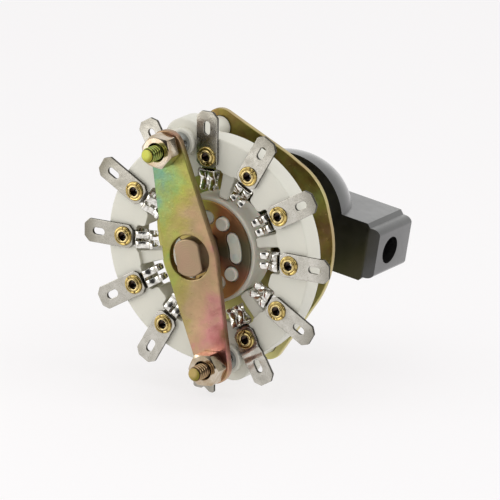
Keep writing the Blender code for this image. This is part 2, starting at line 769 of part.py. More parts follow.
def make_index_work():
    """The star wheel with its stop lug, the spring with its post, and the stop pin."""
    wheel = slab([star_outline(), flats_outline(SEAT)], STAR_FRONT, STAR_BACK)
    stop_back = STAR_FRONT + STAR_THICK / 2
    hub = slab([circle(STAR_HUB, 32), flats_outline(SEAT)], STOP_FRONT, stop_back)
    half = stop_lug_half()
    lug_turn = turn(BLADE_CLOCK)
    lug = moved(box((-half, STOP_FRONT, STAR_HUB - OVER),
                    (half, stop_back, STOP_CIRCLE + STOP_PIN_RADIUS)), lug_turn)
    wheel = carve(carve(wheel, hub, "UNION"), lug, "UNION")
    piece("index_wheel", wheel, "spring_steel")

    line = index_line()
    nose = STAR_RADIUS + FIT + INDEX_SHEET / 2
    path = [(INDEX_SPAN - POST_EYE + 0.3 * MM, line), (2.2 * MM, line), (0.7 * MM, nose),
            (-0.7 * MM, nose), (-2.2 * MM, line), (-INDEX_TAIL, line)]
    upper, lower = strip_sides(path, INDEX_SHEET)
    strip = slab([upper + lower[::-1]], STAR_FRONT, STAR_BACK)
    eye = slab([circle(POST_EYE, 20, (INDEX_SPAN, line)),
                circle(POST_RADIUS + FIT, 16, (INDEX_SPAN, line))], STAR_FRONT, STAR_BACK)
    piece("index_spring", carve(eye, strip, "UNION"), "spring_steel", INDEX_CLOCK)

    spot = post_place()
    post = turned([(0.0, STAR_BACK + POST_PROUD), (POST_RADIUS, STAR_BACK + POST_PROUD),
                   (POST_RADIUS, STAR_FRONT - SEAT), (POST_EYE, STAR_FRONT - SEAT),
                   (POST_EYE, PLATE_BACK + SEAT), (POST_RADIUS, PLATE_BACK + SEAT),
                   (POST_RADIUS, SEAT), (0.0, SEAT)], 16, centre=spot)
    piece("index_post", post, "zinc", smooth=True)
    spot = at_clock(STOP_CIRCLE, STOP_CLOCK)
    high = STAR_FRONT - RUN
    pin = turned([(0.0, high), (STOP_PIN_RADIUS, high), (STOP_PIN_RADIUS, SEAT), (0.0, SEAT)],
                 12, centre=spot)
    piece("stop_pin", pin, "zinc", smooth=True)


# Shaft and rotor

def make_shaft():
    """The shaft: round at the front, with two flats behind the bushing."""
    rod = turned([(0.0, SHAFT_END), (SHAFT_RADIUS, SHAFT_END), (SHAFT_RADIUS, SHAFT_TIP + SHAFT_CHAMFER),
                  (SHAFT_RADIUS - SHAFT_CHAMFER, SHAFT_TIP), (0.0, SHAFT_TIP)], 28)
    far = SHAFT_RADIUS + OVER
    half = SHAFT_FLATS / 2
    start = FLANGE_BACK + SEAT
    sides = [box((-far, start, half), (far, SHAFT_END + OVER, far)),
             box((-far, start, -far), (far, SHAFT_END + OVER, -half))]
    piece("shaft", carve(rod, moved(together(sides), turn(SHAFT_CLOCK))), "yellow_zinc")


def peg_places():
    """The x and z of the rotor's standing pegs."""
    return [at_clock(PEG_CIRCLE, PEG_CLOCK + i * 2 * math.pi / PEG_COUNT)
            for i in range(PEG_COUNT)]


def window_arc(clearance, middle, count):
    """One curved window of the disc, or the boss that fills it with a clearance: two arcs
    about the shaft, joined at each end by half a circle."""
    radius = (ARC_INNER + ARC_OUTER) / 2
    reach = ARC_HALF_ANGLE - (ARC_OUTER - ARC_INNER) / 2 / radius
    cap = (ARC_OUTER - ARC_INNER) / 2 - clearance
    points = []
    for side in (1, -1):
        end = middle + side * reach
        points += arc(radius + side * cap, middle - side * reach, end, count)
        x, z = at_clock(radius, end)
        for a in np.linspace(0.0, math.pi, 6)[1:-1]:
            outward, onward = side * cap * math.cos(a), side * cap * math.sin(a)
            points.append((x - outward * math.sin(end) - onward * math.cos(end),
                           z + outward * math.cos(end) - onward * math.sin(end)))
    return points


def make_rotor():
    """The white drum with its bosses and pegs, the blade it carries and the clamping disc."""
    core = turned([(0.0, DRUM_BACK), (DRUM_RADIUS, DRUM_BACK), (DRUM_RADIUS, DRUM_FRONT),
                   (DRUM_HUB, DRUM_FRONT), (DRUM_HUB, STAR_BACK + SEAT),
                   (0.0, STAR_BACK + SEAT)], 40)
    middles = [PEG_CLOCK + (i + 0.5) * 2 * math.pi / PEG_COUNT for i in range(PEG_COUNT)]
    root = DRUM_BACK - OVER
    bosses = together([slab([window_arc(FIT, middle, 6)], root, DISC_BACK - BOSS_SHY)
                       for middle in middles])
    pegs = together([turned([(0.0, DISC_BACK + PEG_PROUD), (PEG_RADIUS - 0.3 * MM, DISC_BACK + PEG_PROUD),
                             (PEG_RADIUS, DISC_BACK + PEG_PROUD * 0.6), (PEG_RADIUS, root),
                             (0.0, root)], 12, centre=spot) for spot in peg_places()])
    drum = carve(carve(core, bosses, "UNION"), pegs, "UNION")
    bore = slab([flats_outline(SEAT)], STAR_BACK - OVER, DISC_BACK + PEG_PROUD + OVER)
    half = BLADE_WIDE / 2 + SEAT
    channel = box((-half, BLADE_FRONT - SEAT, BLADE_INNER - SEAT),
                  (half, DRUM_BACK + FIT / 2, DRUM_RADIUS + OVER))
    drum = carve(drum, bore)
    piece("rotor_drum", carve(drum, moved(channel, turn(BLADE_CLOCK))), "nylon")

    outline = [(-BLADE_WIDE / 2, BLADE_INNER), (BLADE_WIDE / 2, BLADE_INNER),
               (BLADE_WIDE / 2, BLADE_TIP - BLADE_CHAMFER), (BLADE_WIDE / 2 - BLADE_CHAMFER, BLADE_TIP),
               (-BLADE_WIDE / 2 + BLADE_CHAMFER, BLADE_TIP), (-BLADE_WIDE / 2, BLADE_TIP - BLADE_CHAMFER)]
    piece("rotor_blade", slab([outline], BLADE_FRONT, BLADE_BACK), "silver", BLADE_CLOCK)

    holes = [flats_outline(SEAT)] + [window_arc(0.0, middle, 6) for middle in middles]
    holes += [circle(PEG_RADIUS + FIT, 12, spot) for spot in peg_places()]
    piece("rotor_disc", slab([circle(DISC_RADIUS, 40)] + holes, DISC_FRONT, DISC_BACK), "yellow_zinc")


# Knob

def dome_profile():
    """The dome: a short straight skirt, then a quarter of an ellipse up to the front. It
    starts behind the knob's rear face, which is trimmed flat once the bar is joined on."""
    over = KNOB_BACK + OVER
    points = [(0.0, over), (DOME_RADIUS, over), (DOME_RADIUS, KNOB_BACK - DOME_SKIRT)]
    for a in np.linspace(0.0, math.pi / 2, 9)[1:]:
        points.append((DOME_RADIUS * math.cos(a), KNOB_BACK - DOME_SKIRT - DOME_RISE * math.sin(a)))
    points[-1] = (0.0, points[-1][1])
    return points


def bar_outline():
    """The bar from the front, along +Z: straight flanks, a small step at the shoulder and a
    rounded nose; the other end is part of a circle within the dome's edge."""
    nose = BAR_TIP - BAR_SHOULDER
    flank = [(BAR_HALF, BAR_SHOULDER), (BAR_HALF - BAR_STEP, BAR_SHOULDER + 0.25 * nose)]
    bend = [(BAR_NOSE_HALF + (BAR_HALF - BAR_STEP - BAR_NOSE_HALF) * math.cos(a),
             BAR_TIP - 0.6 * nose + 0.6 * nose * math.sin(a))
            for a in np.linspace(0.0, math.pi / 2, 5)]
    side = flank + bend
    end = math.asin(BAR_HALF / BAR_BACK)
    back = [(BAR_BACK * math.sin(a), -BAR_BACK * math.cos(a)) for a in np.linspace(-end, end, 9)]
    return back + side + [(-x, z) for x, z in reversed(side)]


def knob_bar():
    """The bar with its front edges rounded."""
    mesh = slab([bar_outline()], KNOB_FRONT, KNOB_BACK + 2 * OVER)
    thing = link(mesh, "bar", CUTTERS)
    work = bmesh.new()
    work.from_mesh(mesh)
    bmesh.ops.dissolve_limit(work, angle_limit=0.01, verts=work.verts, edges=work.edges)
    rim = [edge for edge in work.edges
           if all(abs(v.co.y - KNOB_FRONT) < 1e-6 for v in edge.verts)]
    bmesh.ops.bevel(work, geom=rim, offset=BAR_ROUND, segments=3, profile=0.5, affect="EDGES")
    bmesh.ops.recalc_face_normals(work, faces=work.faces)
    work.to_mesh(mesh)
    work.free()
    made = frozen_mesh(thing)
    drop(thing)
    return made


def make_knob():
    """The black knob: dome and bar in one moulding, bored for the shaft and for its screw."""
    body = carve(turned(dome_profile(), 44), knob_bar(), "UNION")
    far = 2 * BAR_TIP
    body = carve(body, box((-far, KNOB_BACK, -far), (far, KNOB_BACK + 3 * OVER, far)))
    slant = box((-far, -BAR_HEEL, -BAR_HEEL), (far, BAR_HEEL, BAR_HEEL))
    slant.transform(Matrix.Translation((0.0, KNOB_BACK, BAR_TIP))
                    @ Matrix.Rotation(math.pi / 4, 4, "X"))
    body = carve(body, slant)
    recess = turned([(KNOB_RECESS_INNER, KNOB_BACK + OVER), (KNOB_RECESS_OUTER, KNOB_BACK + OVER),
                     (KNOB_RECESS_OUTER, KNOB_BACK - KNOB_RECESS_DEEP),
                     (KNOB_RECESS_INNER, KNOB_BACK - KNOB_RECESS_DEEP)], 36, ring=True)
    bore_end = SHAFT_TIP - SEAT
    bore = turned([(0.0, KNOB_BACK + OVER), (SHAFT_RADIUS + SEAT, KNOB_BACK + OVER),
                   (SHAFT_RADIUS + SEAT, bore_end), (0.0, bore_end)], 28)
    mouth = BAR_TIP - SCREW_MOUTH_DEEP
    outer = BAR_TIP + OVER
    hole = turned([(0.0, outer), (SCREW_MOUTH, outer), (SCREW_MOUTH, mouth),
                   (SCREW_RADIUS + SEAT, mouth), (SCREW_RADIUS + SEAT, 0.0), (0.0, 0.0)], 20)
    hole.transform(Matrix.Translation((0.0, KNOB_BACK - SCREW_AT, 0.0))
                   @ Matrix.Rotation(math.pi / 2, 4, "X"))
    for cutter in (recess, bore, hole):
        body = carve(body, cutter)
    piece("knob", body, "phenolic", KNOB_CLOCK, smooth=True)

    inner = SHAFT_RADIUS + SEAT
    screw = turned([(0.0, inner + SCREW_LONG), (SCREW_RADIUS, inner + SCREW_LONG),
                    (SCREW_RADIUS, inner + 0.5 * MM), (SCREW_RADIUS - 0.5 * MM, inner),
                    (0.0, inner)], 16)
    screw.transform(Matrix.Translation((0.0, KNOB_BACK - SCREW_AT, 0.0))
                    @ Matrix.Rotation(math.pi / 2, 4, "X"))
    slot = box((-SCREW_RADIUS - SEAT, KNOB_BACK - SCREW_AT - SCREW_SLOT_WIDE / 2, inner + SCREW_LONG - SCREW_SLOT_DEEP),
               (SCREW_RADIUS + SEAT, KNOB_BACK - SCREW_AT + SCREW_SLOT_WIDE / 2, inner + SCREW_LONG + OVER))
    piece("knob_screw", carve(screw, slot), "spring_steel", KNOB_CLOCK)


make_stator()
make_terminals()
make_frame_hardware()
make_front_plate()
make_bushing()
make_index_work()
make_shaft()
make_rotor()
make_knob()
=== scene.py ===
# %% [markdown]
# A rotary switch has a white ceramic wafer with twelve solder tabs round its edge. A shaft
# through the middle carries a contact from one tab's spring clip to the next, and a black
# knob turns the shaft. This notebook dresses the plain solids of such a switch with fine
# surfaces and finishes. The solids come first, as a frame: every new piece is drawn in the
# same place and at the same size as the solid that it stands for.

import math

import bmesh
import bpy
import numpy as np
from mathutils import Matrix, Vector
from mathutils.geometry import delaunay_2d_cdt


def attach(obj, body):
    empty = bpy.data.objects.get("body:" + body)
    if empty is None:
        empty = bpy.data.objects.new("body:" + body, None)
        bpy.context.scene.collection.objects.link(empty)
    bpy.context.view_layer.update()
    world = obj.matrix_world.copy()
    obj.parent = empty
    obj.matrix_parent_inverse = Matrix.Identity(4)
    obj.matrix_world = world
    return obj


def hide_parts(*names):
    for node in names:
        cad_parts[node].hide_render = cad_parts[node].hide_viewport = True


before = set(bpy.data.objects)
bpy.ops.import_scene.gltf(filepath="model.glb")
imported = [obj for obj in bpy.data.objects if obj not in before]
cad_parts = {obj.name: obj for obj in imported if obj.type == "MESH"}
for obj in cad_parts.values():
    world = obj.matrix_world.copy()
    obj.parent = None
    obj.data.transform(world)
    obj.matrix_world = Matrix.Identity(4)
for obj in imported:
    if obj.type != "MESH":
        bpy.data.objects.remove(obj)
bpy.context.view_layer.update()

# %% [markdown]
# Lengths here are in millimetres, because the parts are small, and they become metres only
# when a mesh is made. The shaft runs along Y, with the knob at the front (low Y) and the
# terminals at the rear (high Y). Round the shaft, places are given as on a clock face seen
# from the front: 0 degrees is up and the angle grows towards low X.

# %% Sizes shared by several pieces
MM = 0.001
PLATE_BACK = 1.5
STATOR_FRONT, STATOR_BACK = 13.0, 19.5
STATOR_RADIUS, WINDOW_RADIUS, LAND_RADIUS, BORE_RADIUS = 30.3, 22.0, 19.5, 14.6
SPOKE_BACK, SPOKE_STEP_RADIUS = 18.5, 21.5
RIVET_RADIUS = 25.2
TAB_FRONT, TAB_BACK = 19.8, 20.6
TAB_INNER, TAB_TIP, TAB_HALF = 22.4, 37.2, 3.15
STUD_CIRCLE, STUD_CLOCK, STUD_RADIUS, STUD_END = 28.9, -15.0, 2.0, 37.6
STRAP_FRONT, STRAP_BACK = 26.5, 28.5
SHAFT_RADIUS, SHAFT_CLOCK, SHAFT_END = 5.0, 79.0, 29.3
DISC_RADIUS, DISC_FRONT, DISC_BACK = 13.4, 19.6, 20.4
KNOB_BACK, KNOB_FRONT, KNOB_CLOCK = -14.4, -32.4, 99.0
TERMINALS = {number: 30 * (number - 1) for number in range(1, 13)}
print("terminals and their clock angles:", TERMINALS)

# %% [markdown]
# Two small helpers put things on the clock face. One finds a point from its radius and its
# clock angle. The other turns a whole piece that was drawn at 12 o'clock to where it goes,
# so a tab or a clip is drawn once and then used twelve times.


# %% Places on the clock face
def clock(radius, angle):
    """Points at a radius and a clock angle in degrees: x is minus the radius times the
    angle's sine, z is the radius times its cosine."""
    a = np.radians(angle)
    return np.stack(np.broadcast_arrays(-radius * np.sin(a), radius * np.cos(a)), -1)


def spin(shell, angle):
    """A shell turned from 12 o'clock to another clock angle, about the Y axis: the new x is
    x cos a - z sin a, the new z is x sin a + z cos a."""
    points = shell[0]
    c, s = math.cos(math.radians(angle)), math.sin(math.radians(angle))
    x = points[:, 0] * c - points[:, 2] * s
    z = points[:, 0] * s + points[:, 2] * c
    return (np.stack([x, points[:, 1], z], -1),) + tuple(shell[1:])


UPPER = clock(STUD_CIRCLE, STUD_CLOCK)
LOWER = -UPPER
print("studs at", UPPER.round(2), LOWER.round(2))

# %% [markdown]
# Most parts of a switch are punched from sheet, so they start as a flat outline. Punched
# and moulded corners are never quite sharp. One way to round them is a Bevel modifier, but
# an outline that is rounded before it gets its thickness keeps an even mesh, so that is
# what these helpers do.


# %% Outlines
def tidy_loop(points):
    """The outline without points that lie on the one before."""
    step = np.linalg.norm(points - np.roll(points, 1, axis=0), axis=1)
    return points[step > 1e-5]


def soften(points, size, steps=4):
    """Rounds the corners of a closed outline. Each corner becomes a short curve: (1 - t)
    squared of the point before it, plus 2 t (1 - t) of the corner, plus t squared of the
    point after it, where both points lie within the size from the corner."""
    p = np.asarray(points, float)
    before, after = np.roll(p, 1, axis=0) - p, np.roll(p, -1, axis=0) - p
    long_before = np.linalg.norm(before, axis=1, keepdims=True)
    long_after = np.linalg.norm(after, axis=1, keepdims=True)
    size = np.broadcast_to(np.reshape(size, (-1, 1)), long_before.shape)
    size = np.minimum(size, np.minimum(long_before, long_after) * 0.5)
    entry = (p + before / long_before * size)[:, None]
    leave = (p + after / long_after * size)[:, None]
    t = np.linspace(0.0, 1.0, steps)[None, :, None]
    curve = (1 - t) ** 2 * entry + 2 * t * (1 - t) * p[:, None] + t ** 2 * leave
    return tidy_loop(curve.reshape(-1, 2))


def densify(points, step):
    """The outline with more points along its long sides, none further apart than step."""
    along = np.roll(points, -1, axis=0) - points
    count = np.maximum(np.ceil(np.linalg.norm(along, axis=1) / step).astype(int), 1)
    start = np.repeat(np.arange(len(points)), count)
    rank = np.arange(count.sum()) - np.repeat(np.cumsum(count) - count, count)
    share = (rank / np.repeat(count, count))[:, None]
    return points[start] + along[start] * share


def ring(radius, count=96, centre=(0.0, 0.0)):
    """A circle as an outline."""
    a = np.linspace(0.0, 2 * np.pi, count, endpoint=False)
    return np.stack([np.cos(a), np.sin(a)], -1) * radius + np.asarray(centre)


def hull_of(circles, count=360):
    """The outline of a band drawn tight round several circles (x, z, radius): in each
    direction, the furthest point that any circle reaches."""
    a = np.linspace(0.0, 2 * np.pi, count, endpoint=False)
    way = np.stack([np.cos(a), np.sin(a)], -1)
    c = np.asarray(circles, float)
    reach = way @ c[:, :2].T + c[:, 2]
    best = reach.argmax(axis=1)
    return tidy_loop(c[best, :2] + way * c[best, 2:3])


def mirrored(side):
    """An outline from its points at high x, in order of rising z, and their mirror image."""
    side = np.array(side, float)
    return np.roll(np.concatenate([side, (side * (-1, 1))[::-1]]), 1, axis=0)


def turn_left(loop, left=True):
    """The outline run anticlockwise, or clockwise where left is False."""
    x, z = loop.T
    area = np.sum(x * np.roll(z, -1) - np.roll(x, -1) * z)
    return loop if (area > 0) == left else loop[::-1]


print("a softened square has", len(soften([(0, 0), (1, 0), (1, 1), (0, 1)], 0.2)), "points")

# %% [markdown]
# A flat part needs more than an outline pulled straight back: light catches its rounded
# edge, and without that line a render looks like paper. The plate helper carries the
# outline through a quarter round at each face. The faces are filled with triangles that
# keep holes open, which Blender's Delaunay function does well.


# %% Flat parts with rounded edges
def is_inside(points, loops):
    """True for the points that lie within an odd number of the loops: a line from the point
    towards +X then crosses the loops an odd number of times."""
    crossings = np.zeros(len(points), int)
    for loop in loops:
        a, b = loop, np.roll(loop, -1, axis=0)
        z = points[:, None, 1]
        spans = (a[None, :, 1] > z) != (b[None, :, 1] > z)
        rise = np.where(np.abs(b[:, 1] - a[:, 1]) < 1e-12, 1e-12, b[:, 1] - a[:, 1])
        x = a[None, :, 0] + (z - a[None, :, 1]) / rise * (b[:, 0] - a[:, 0])[None]
        crossings += (spans & (points[:, None, 0] < x)).sum(axis=1)
    return crossings % 2 == 1


def inward(loop):
    """For each point of a loop, the mitred step to its left: the sum of the left normals of
    the two sides that meet there, over one plus their dot product."""
    way = np.roll(loop, -1, axis=0) - loop
    way /= np.linalg.norm(way, axis=1, keepdims=True)
    normal = np.stack([-way[:, 1], way[:, 0]], -1)
    last = np.roll(normal, 1, axis=0)
    return (normal + last) / np.maximum(1 + (normal * last).sum(1), 0.4)[:, None]


def left_of(faces, edges, size):
    """True for the triangles to the left of the loops' edges, and for those that can be
    reached from them without stepping over a loop. An edge's number is its first point
    times the number of points, plus its second."""
    sides = np.stack([faces, np.roll(faces, -1, axis=1)], -1).reshape(-1, 2)
    owner = np.repeat(np.arange(len(faces)), 3)
    number = sides[:, 0] * size + sides[:, 1]
    loop_number = edges[:, 0] * size + edges[:, 1]
    back_number = edges[:, 1] * size + edges[:, 0]
    on_left = np.isin(number, loop_number)
    inner = ~on_left & ~np.isin(number, back_number)
    pair = sides[inner].min(axis=1) * size + sides[inner].max(axis=1)
    order = np.argsort(pair, kind="stable")
    pair, who = pair[order], owner[inner][order]
    same = np.flatnonzero(pair[1:] == pair[:-1])
    one, other = who[same], who[same + 1]
    reached = np.zeros(len(faces), bool)
    reached[owner[on_left]] = True
    while True:
        known = reached.sum()
        reached[other[reached[one]]] = True
        reached[one[reached[other]]] = True
        if reached.sum() == known:
            return reached


def cap(loops, depth, spacing=None):
    """A flat face at one depth along Y, to the left of every loop: within the first one,
    which runs anticlockwise, and outside the others, which run clockwise."""
    points = np.concatenate(loops)
    ends = np.cumsum([len(loop) for loop in loops])
    starts = ends - [len(loop) for loop in loops]
    edges = [(i, i + 1 if i + 1 < end else start)
             for start, end in zip(starts, ends) for i in range(start, end)]
    if spacing:
        low, high = points.min(axis=0), points.max(axis=0)
        x, z = (np.arange(a + spacing / 2, b, spacing) for a, b in zip(low, high))
        extra = np.stack(np.meshgrid(x, z), -1).reshape(-1, 2)
        extra = extra[is_inside(extra, loops)]
        near = np.linalg.norm(extra[:, None] - points[None], axis=2).min(axis=1)
        points = np.concatenate([points, extra[near > spacing * 0.4]])
    made = delaunay_2d_cdt([Vector(p) for p in points], edges, [], 0, 1e-7)
    flat, faces = np.array(made[0], float), np.array(made[2])
    faces = faces[left_of(faces, np.array(edges), len(flat))]
    return np.insert(flat, 1, depth, axis=1), faces


def grid(rows, wrap_rows=False, wrap_columns=True):
    """Four-sided faces between the neighbours of a table of points, wrapped round where the
    table closes on itself."""
    rows = np.asarray(rows, float)
    high, wide = rows.shape[:2]
    index = np.arange(high * wide).reshape(high, wide)
    index = np.concatenate([index, index[:1]]) if wrap_rows else index
    index = np.concatenate([index, index[:, :1]], axis=1) if wrap_columns else index
    faces = np.stack([index[:-1, :-1], index[1:, :-1], index[1:, 1:], index[:-1, 1:]], -1)
    return rows.reshape(-1, 3), faces.reshape(-1, 4)


def plate(loops, front, back, edge=0.15, steps=4, spacing=None):
    """A flat part between two depths. Along the edge, an angle a runs from 0 to 90 degrees:
    the outline steps in by edge times (1 - sin a) at a depth of edge times (1 - cos a)
    from the face. A narrow flat ring inside it keeps the shading of the face even. Edge is
    one size, or one for each loop."""
    loops = [turn_left(np.asarray(loop, float), i == 0) for i, loop in enumerate(loops)]
    a = np.linspace(0.0, np.pi / 2, steps)
    shells, ends = [], []
    for loop, size in zip(loops, np.broadcast_to(edge, len(loops))):
        step_in, step_down = size * (1 - np.sin(a)), size * (1 - np.cos(a))
        rim = [size + min(0.4 * size, 0.04)]
        step = np.concatenate([rim, step_in, step_in[::-1], rim])
        depth = np.concatenate([[back], back - step_down, front + step_down[::-1], [front]])
        offset = loop[None] + inward(loop)[None] * step[:, None, None]
        rows = np.insert(offset, 1, 0.0, axis=2)
        rows[:, :, 1] = depth[:, None]
        shells.append(grid(rows))
        ends.append((offset[0], offset[-1]))
    shells.append(cap([first for first, _ in ends], back, spacing))
    shells.append(cap([last for _, last in ends], front, spacing))
    return joined(shells)


def joined(shells):
    """Several shells as one: their points in a row, with the faces renumbered."""
    points, faces, base = [], [], 0
    for shell in shells:
        points.append(shell[0])
        faces.append(shell[1] + base)
        base += len(shell[0])
    return np.concatenate(points), faces


print("a round plate has", len(plate([ring(1.0)], 0.0, 1.0)[0]), "points")

# %% [markdown]
# Round parts such as sleeves, eyelets and the knob's dome are profiles turned about an
# axis. In Blender that is a Screw modifier, or, as here, a grid whose rows follow the
# profile and whose columns go round the axis. Threads are the same grid with a radius that
# also depends on the angle, so that the ridge climbs as it goes round.


# %% Turned parts and threads
def revolve(profile, centre=(0.0, 0.0), count=64, closed=False, wobble=None):
    """A profile of (radius, y) points turned about an axis along Y. Where it is closed it
    makes a ring. Wobble is a function of the angle, radius and y that changes the last two."""
    profile = np.asarray(profile, float)
    a = np.linspace(0.0, 2 * np.pi, count, endpoint=False)[None]
    radius = np.broadcast_to(profile[:, :1], (len(profile), count))
    y = np.broadcast_to(profile[:, 1:2], (len(profile), count))
    if wobble:
        radius, y = wobble(a, radius, y)
    rows = np.stack([centre[0] + radius * np.cos(a), y, centre[1] + radius * np.sin(a)], -1)
    return grid(rows, wrap_rows=closed)


def sleeve_shell(outer, inner, front, back, centre, edge=0.25, count=64):
    """A plain tube with rounded ends."""
    profile = soften([(inner, front), (outer, front), (outer, back), (inner, back)], edge, 5)
    return revolve(profile, centre, count, True)


def screw_thread(radius, low, high, pitch, centre, count=40, deep=0.32, bore=None):
    """A threaded rod between two depths. The radius falls from the crest by the depth of
    the thread times a triangle wave of (y / pitch - angle / 360), and both ends are
    chamfered. The third array is how deep in the groove each point lies, from 0 to 1."""
    rows = int((high - low) / pitch * 10)
    y = np.linspace(low, high, rows)[:, None]
    a = np.linspace(0.0, 2 * np.pi, count, endpoint=False)[None]
    wave = np.abs(((y / pitch - a / (2 * np.pi)) % 1.0) * 2 - 1)
    groove = np.clip(wave * 1.25 - 0.1, 0.0, 1.0)
    r = radius - deep * groove
    to_end = np.minimum(y - low, high - y)
    r = np.minimum(r, radius - 0.4 + to_end * 0.9 + 0 * a)
    inner = np.full((1, count), 0.0 if bore is None else bore)
    r = np.concatenate([inner, r, inner])
    y = np.concatenate([y[:1], y, y[-1:]]) + 0 * a
    table = np.stack([centre[0] + r * np.cos(a), y, centre[1] + r * np.sin(a)], -1)
    zero = np.zeros((1, count))
    points, faces = grid(table, wrap_rows=bore is not None)
    return points, faces, np.concatenate([zero, groove + 0 * r[1:-1], zero]).ravel()


def hexagon_nut(flats, bore, front, back, centre, phase, count=144):
    """A hexagon nut. Its radius is half the flats over the cosine of the angle from the
    nearest flat's middle. A cone cuts both faces: it starts at 0.94 of half the flats and
    falls by 0.6 of each further millimetre, so its edge rises and dips round the nut. The
    third array is 1 in the bore."""
    a = np.linspace(0.0, 2 * np.pi, count, endpoint=False)
    off = (a - phase + np.pi / 6) % (np.pi / 3) - np.pi / 6
    hexagon = np.minimum(flats / 2 / np.cos(off), flats / 2 / math.cos(math.pi / 6) - 0.08)
    start, full = flats / 2 * 0.94, np.ones(count)
    drop, lead = (hexagon - start) * 0.6, 0.4
    half = [full * bore, full * (bore + lead), full * (start - 0.2), full * start, hexagon]
    sunk = [full * lead, 0 * full, 0 * full, 0 * full, drop]
    radii = np.stack(half + half[::-1])
    y = np.stack([back - step for step in sunk] + [front + step for step in sunk[::-1]])
    table = np.stack([centre[0] + radii * np.cos(a), y, centre[1] + radii * np.sin(a)], -1)
    points, faces = grid(table, wrap_rows=True)
    return points, faces, np.repeat([1.0] + [0.0] * 8 + [1.0], count)


print("a turned disc has", len(revolve([(0.0, 0.0), (1.0, 0.0)])[0]), "points")

# %% [markdown]
# The last helper turns arrays into a Blender object. It merges the points where surfaces
# meet, makes every face point outwards, and shades the mesh smooth apart from real edges.
# It then ties the piece to its body and hides the solid that it stands for.


# %% From arrays to a Blender object
def build(name, shells, body, nodes, material, crease=34.0):
    """One object from several shells. A shell's third array, if it has one, becomes the
    attribute named depth."""
    points, faces, depth, base = [], [], [], 0
    for shell in shells:
        points.append(shell[0])
        parts = shell[1] if isinstance(shell[1], list) else [shell[1]]
        for part in parts:
            faces += (part + base).tolist()
        depth.append(shell[2] if len(shell) > 2 else np.zeros(len(shell[0])))
        base += len(shell[0])
    mesh = bpy.data.meshes.new(name)
    mesh.from_pydata((np.concatenate(points) * MM).tolist(), [], faces)
    layer = mesh.attributes.new("depth", "FLOAT", "POINT")
    layer.data.foreach_set("value", np.concatenate(depth).astype(np.float32))
    clean(mesh, 3e-7, 1e-8)
    return finish_piece(name, mesh, body, nodes, material, crease)


def clean(mesh, merge, thin):
    """Merges points closer than one limit, takes out edges shorter than another, and turns
    every face outwards."""
    work = bmesh.new()
    work.from_mesh(mesh)
    bmesh.ops.remove_doubles(work, verts=work.verts, dist=merge)
    bmesh.ops.dissolve_degenerate(work, dist=thin, edges=work.edges)
    bmesh.ops.recalc_face_normals(work, faces=work.faces)
    work.to_mesh(mesh)
    work.free()


def finish_piece(name, mesh, body, nodes, material, crease):
    """Shades a mesh, gives it its finish, ties it to its body and hides its solids."""
    mesh.shade_smooth()
    mesh.set_sharp_from_angle(angle=math.radians(crease))
    mesh.materials.clear()
    mesh.materials.append(material)
    thing = bpy.data.objects.new(name, mesh)
    bpy.context.scene.collection.objects.link(thing)
    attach(thing, body)
    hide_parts(*nodes)
    triangles = sum(len(p.vertices) - 2 for p in mesh.polygons)
    open_edges = len(mesh.edges) * 2 - sum(len(p.vertices) for p in mesh.polygons)
    print(f"{name}: {triangles} triangles, {open_edges} edges off from closed")
    return thing

# %% [markdown]
# Finishes are made of nodes. Colours are written as they look on a screen, from 0 to 255,
# and converted to the linear values that Blender works with. Patterns read Object
# coordinates, which are metres here, so a noise scale of 1000 has features of about 1 mm.
# Adding nodes one by one takes many lines, so a small class gives each step a short word.


# %% Short words for nodes
def tint(red, green, blue):
    """A screen colour as linear light: below 0.04045 it is divided by 12.92, above it is
    (c + 0.055) / 1.055 to the power 2.4."""
    c = np.array([red, green, blue]) / 255.0
    linear = np.where(c <= 0.04045, c / 12.92, ((c + 0.055) / 1.055) ** 2.4)
    return (*linear.tolist(), 1.0)


def as_colour(values):
    """Linear light from one number, which is a grey, from the three of a screen colour, or
    from four that are linear already."""
    if len(values) == 1:
        return (*(values * 3), 1.0)
    return tint(*values) if len(values) == 3 else tuple(values)


class Nodes:
    """A node tree. Each step gives back its output, which goes into the next step."""

    def __init__(self, tree):
        self.tree = tree

    def link(self, value, socket):
        """Feeds a socket from an output, or sets it to a plain value."""
        if isinstance(value, bpy.types.NodeSocket):
            self.tree.links.new(value, socket)
        else:
            socket.default_value = value

    def add(self, kind, inputs=None, **settings):
        """A node with its settings made and its inputs fed."""
        made = self.tree.nodes.new("ShaderNode" + kind)
        for key, value in settings.items():
            setattr(made, key, value)
        for key, value in (inputs or {}).items():
            self.link(value, made.inputs[key])
        return made

    def math(self, operation, first, second=0.0, clamp=False):
        """The result of one arithmetic step."""
        return self.add("Math", {0: first, 1: second}, operation=operation,
                        use_clamp=clamp).outputs[0]

    def mix(self, share, first, second, way="MIX"):
        """Two colours mixed by a share."""
        return self.add("Mix", {0: share, 6: first, 7: second}, data_type="RGBA",
                        blend_type=way).outputs[2]

    def ramp(self, share, *stops):
        """A colour ramp. Each stop is a place, then the numbers of its colour."""
        made = self.add("ValToRGB", {0: share})
        elements = made.color_ramp.elements
        while len(elements) < len(stops):
            elements.new(0.5)
        for element, (place, *colour) in zip(elements, stops):
            element.position = place
            element.color = as_colour(colour)
        return made.outputs["Color"]

    def along(self, coordinates, way):
        """How far a point lies along a direction: the dot product with it."""
        return self.add("VectorMath", {0: coordinates, 1: way},
                        operation="DOT_PRODUCT").outputs["Value"]

    def spread(self, value, low, high, to_low=0.0, to_high=1.0):
        """A value's place between two limits, as a share from to_low to to_high."""
        return self.add("MapRange", {0: value, 1: low, 2: high, 3: to_low,
                                     4: to_high}).outputs[0]


print("a mid grey of 128 is", round(tint(128, 128, 128)[0], 3), "in linear light")

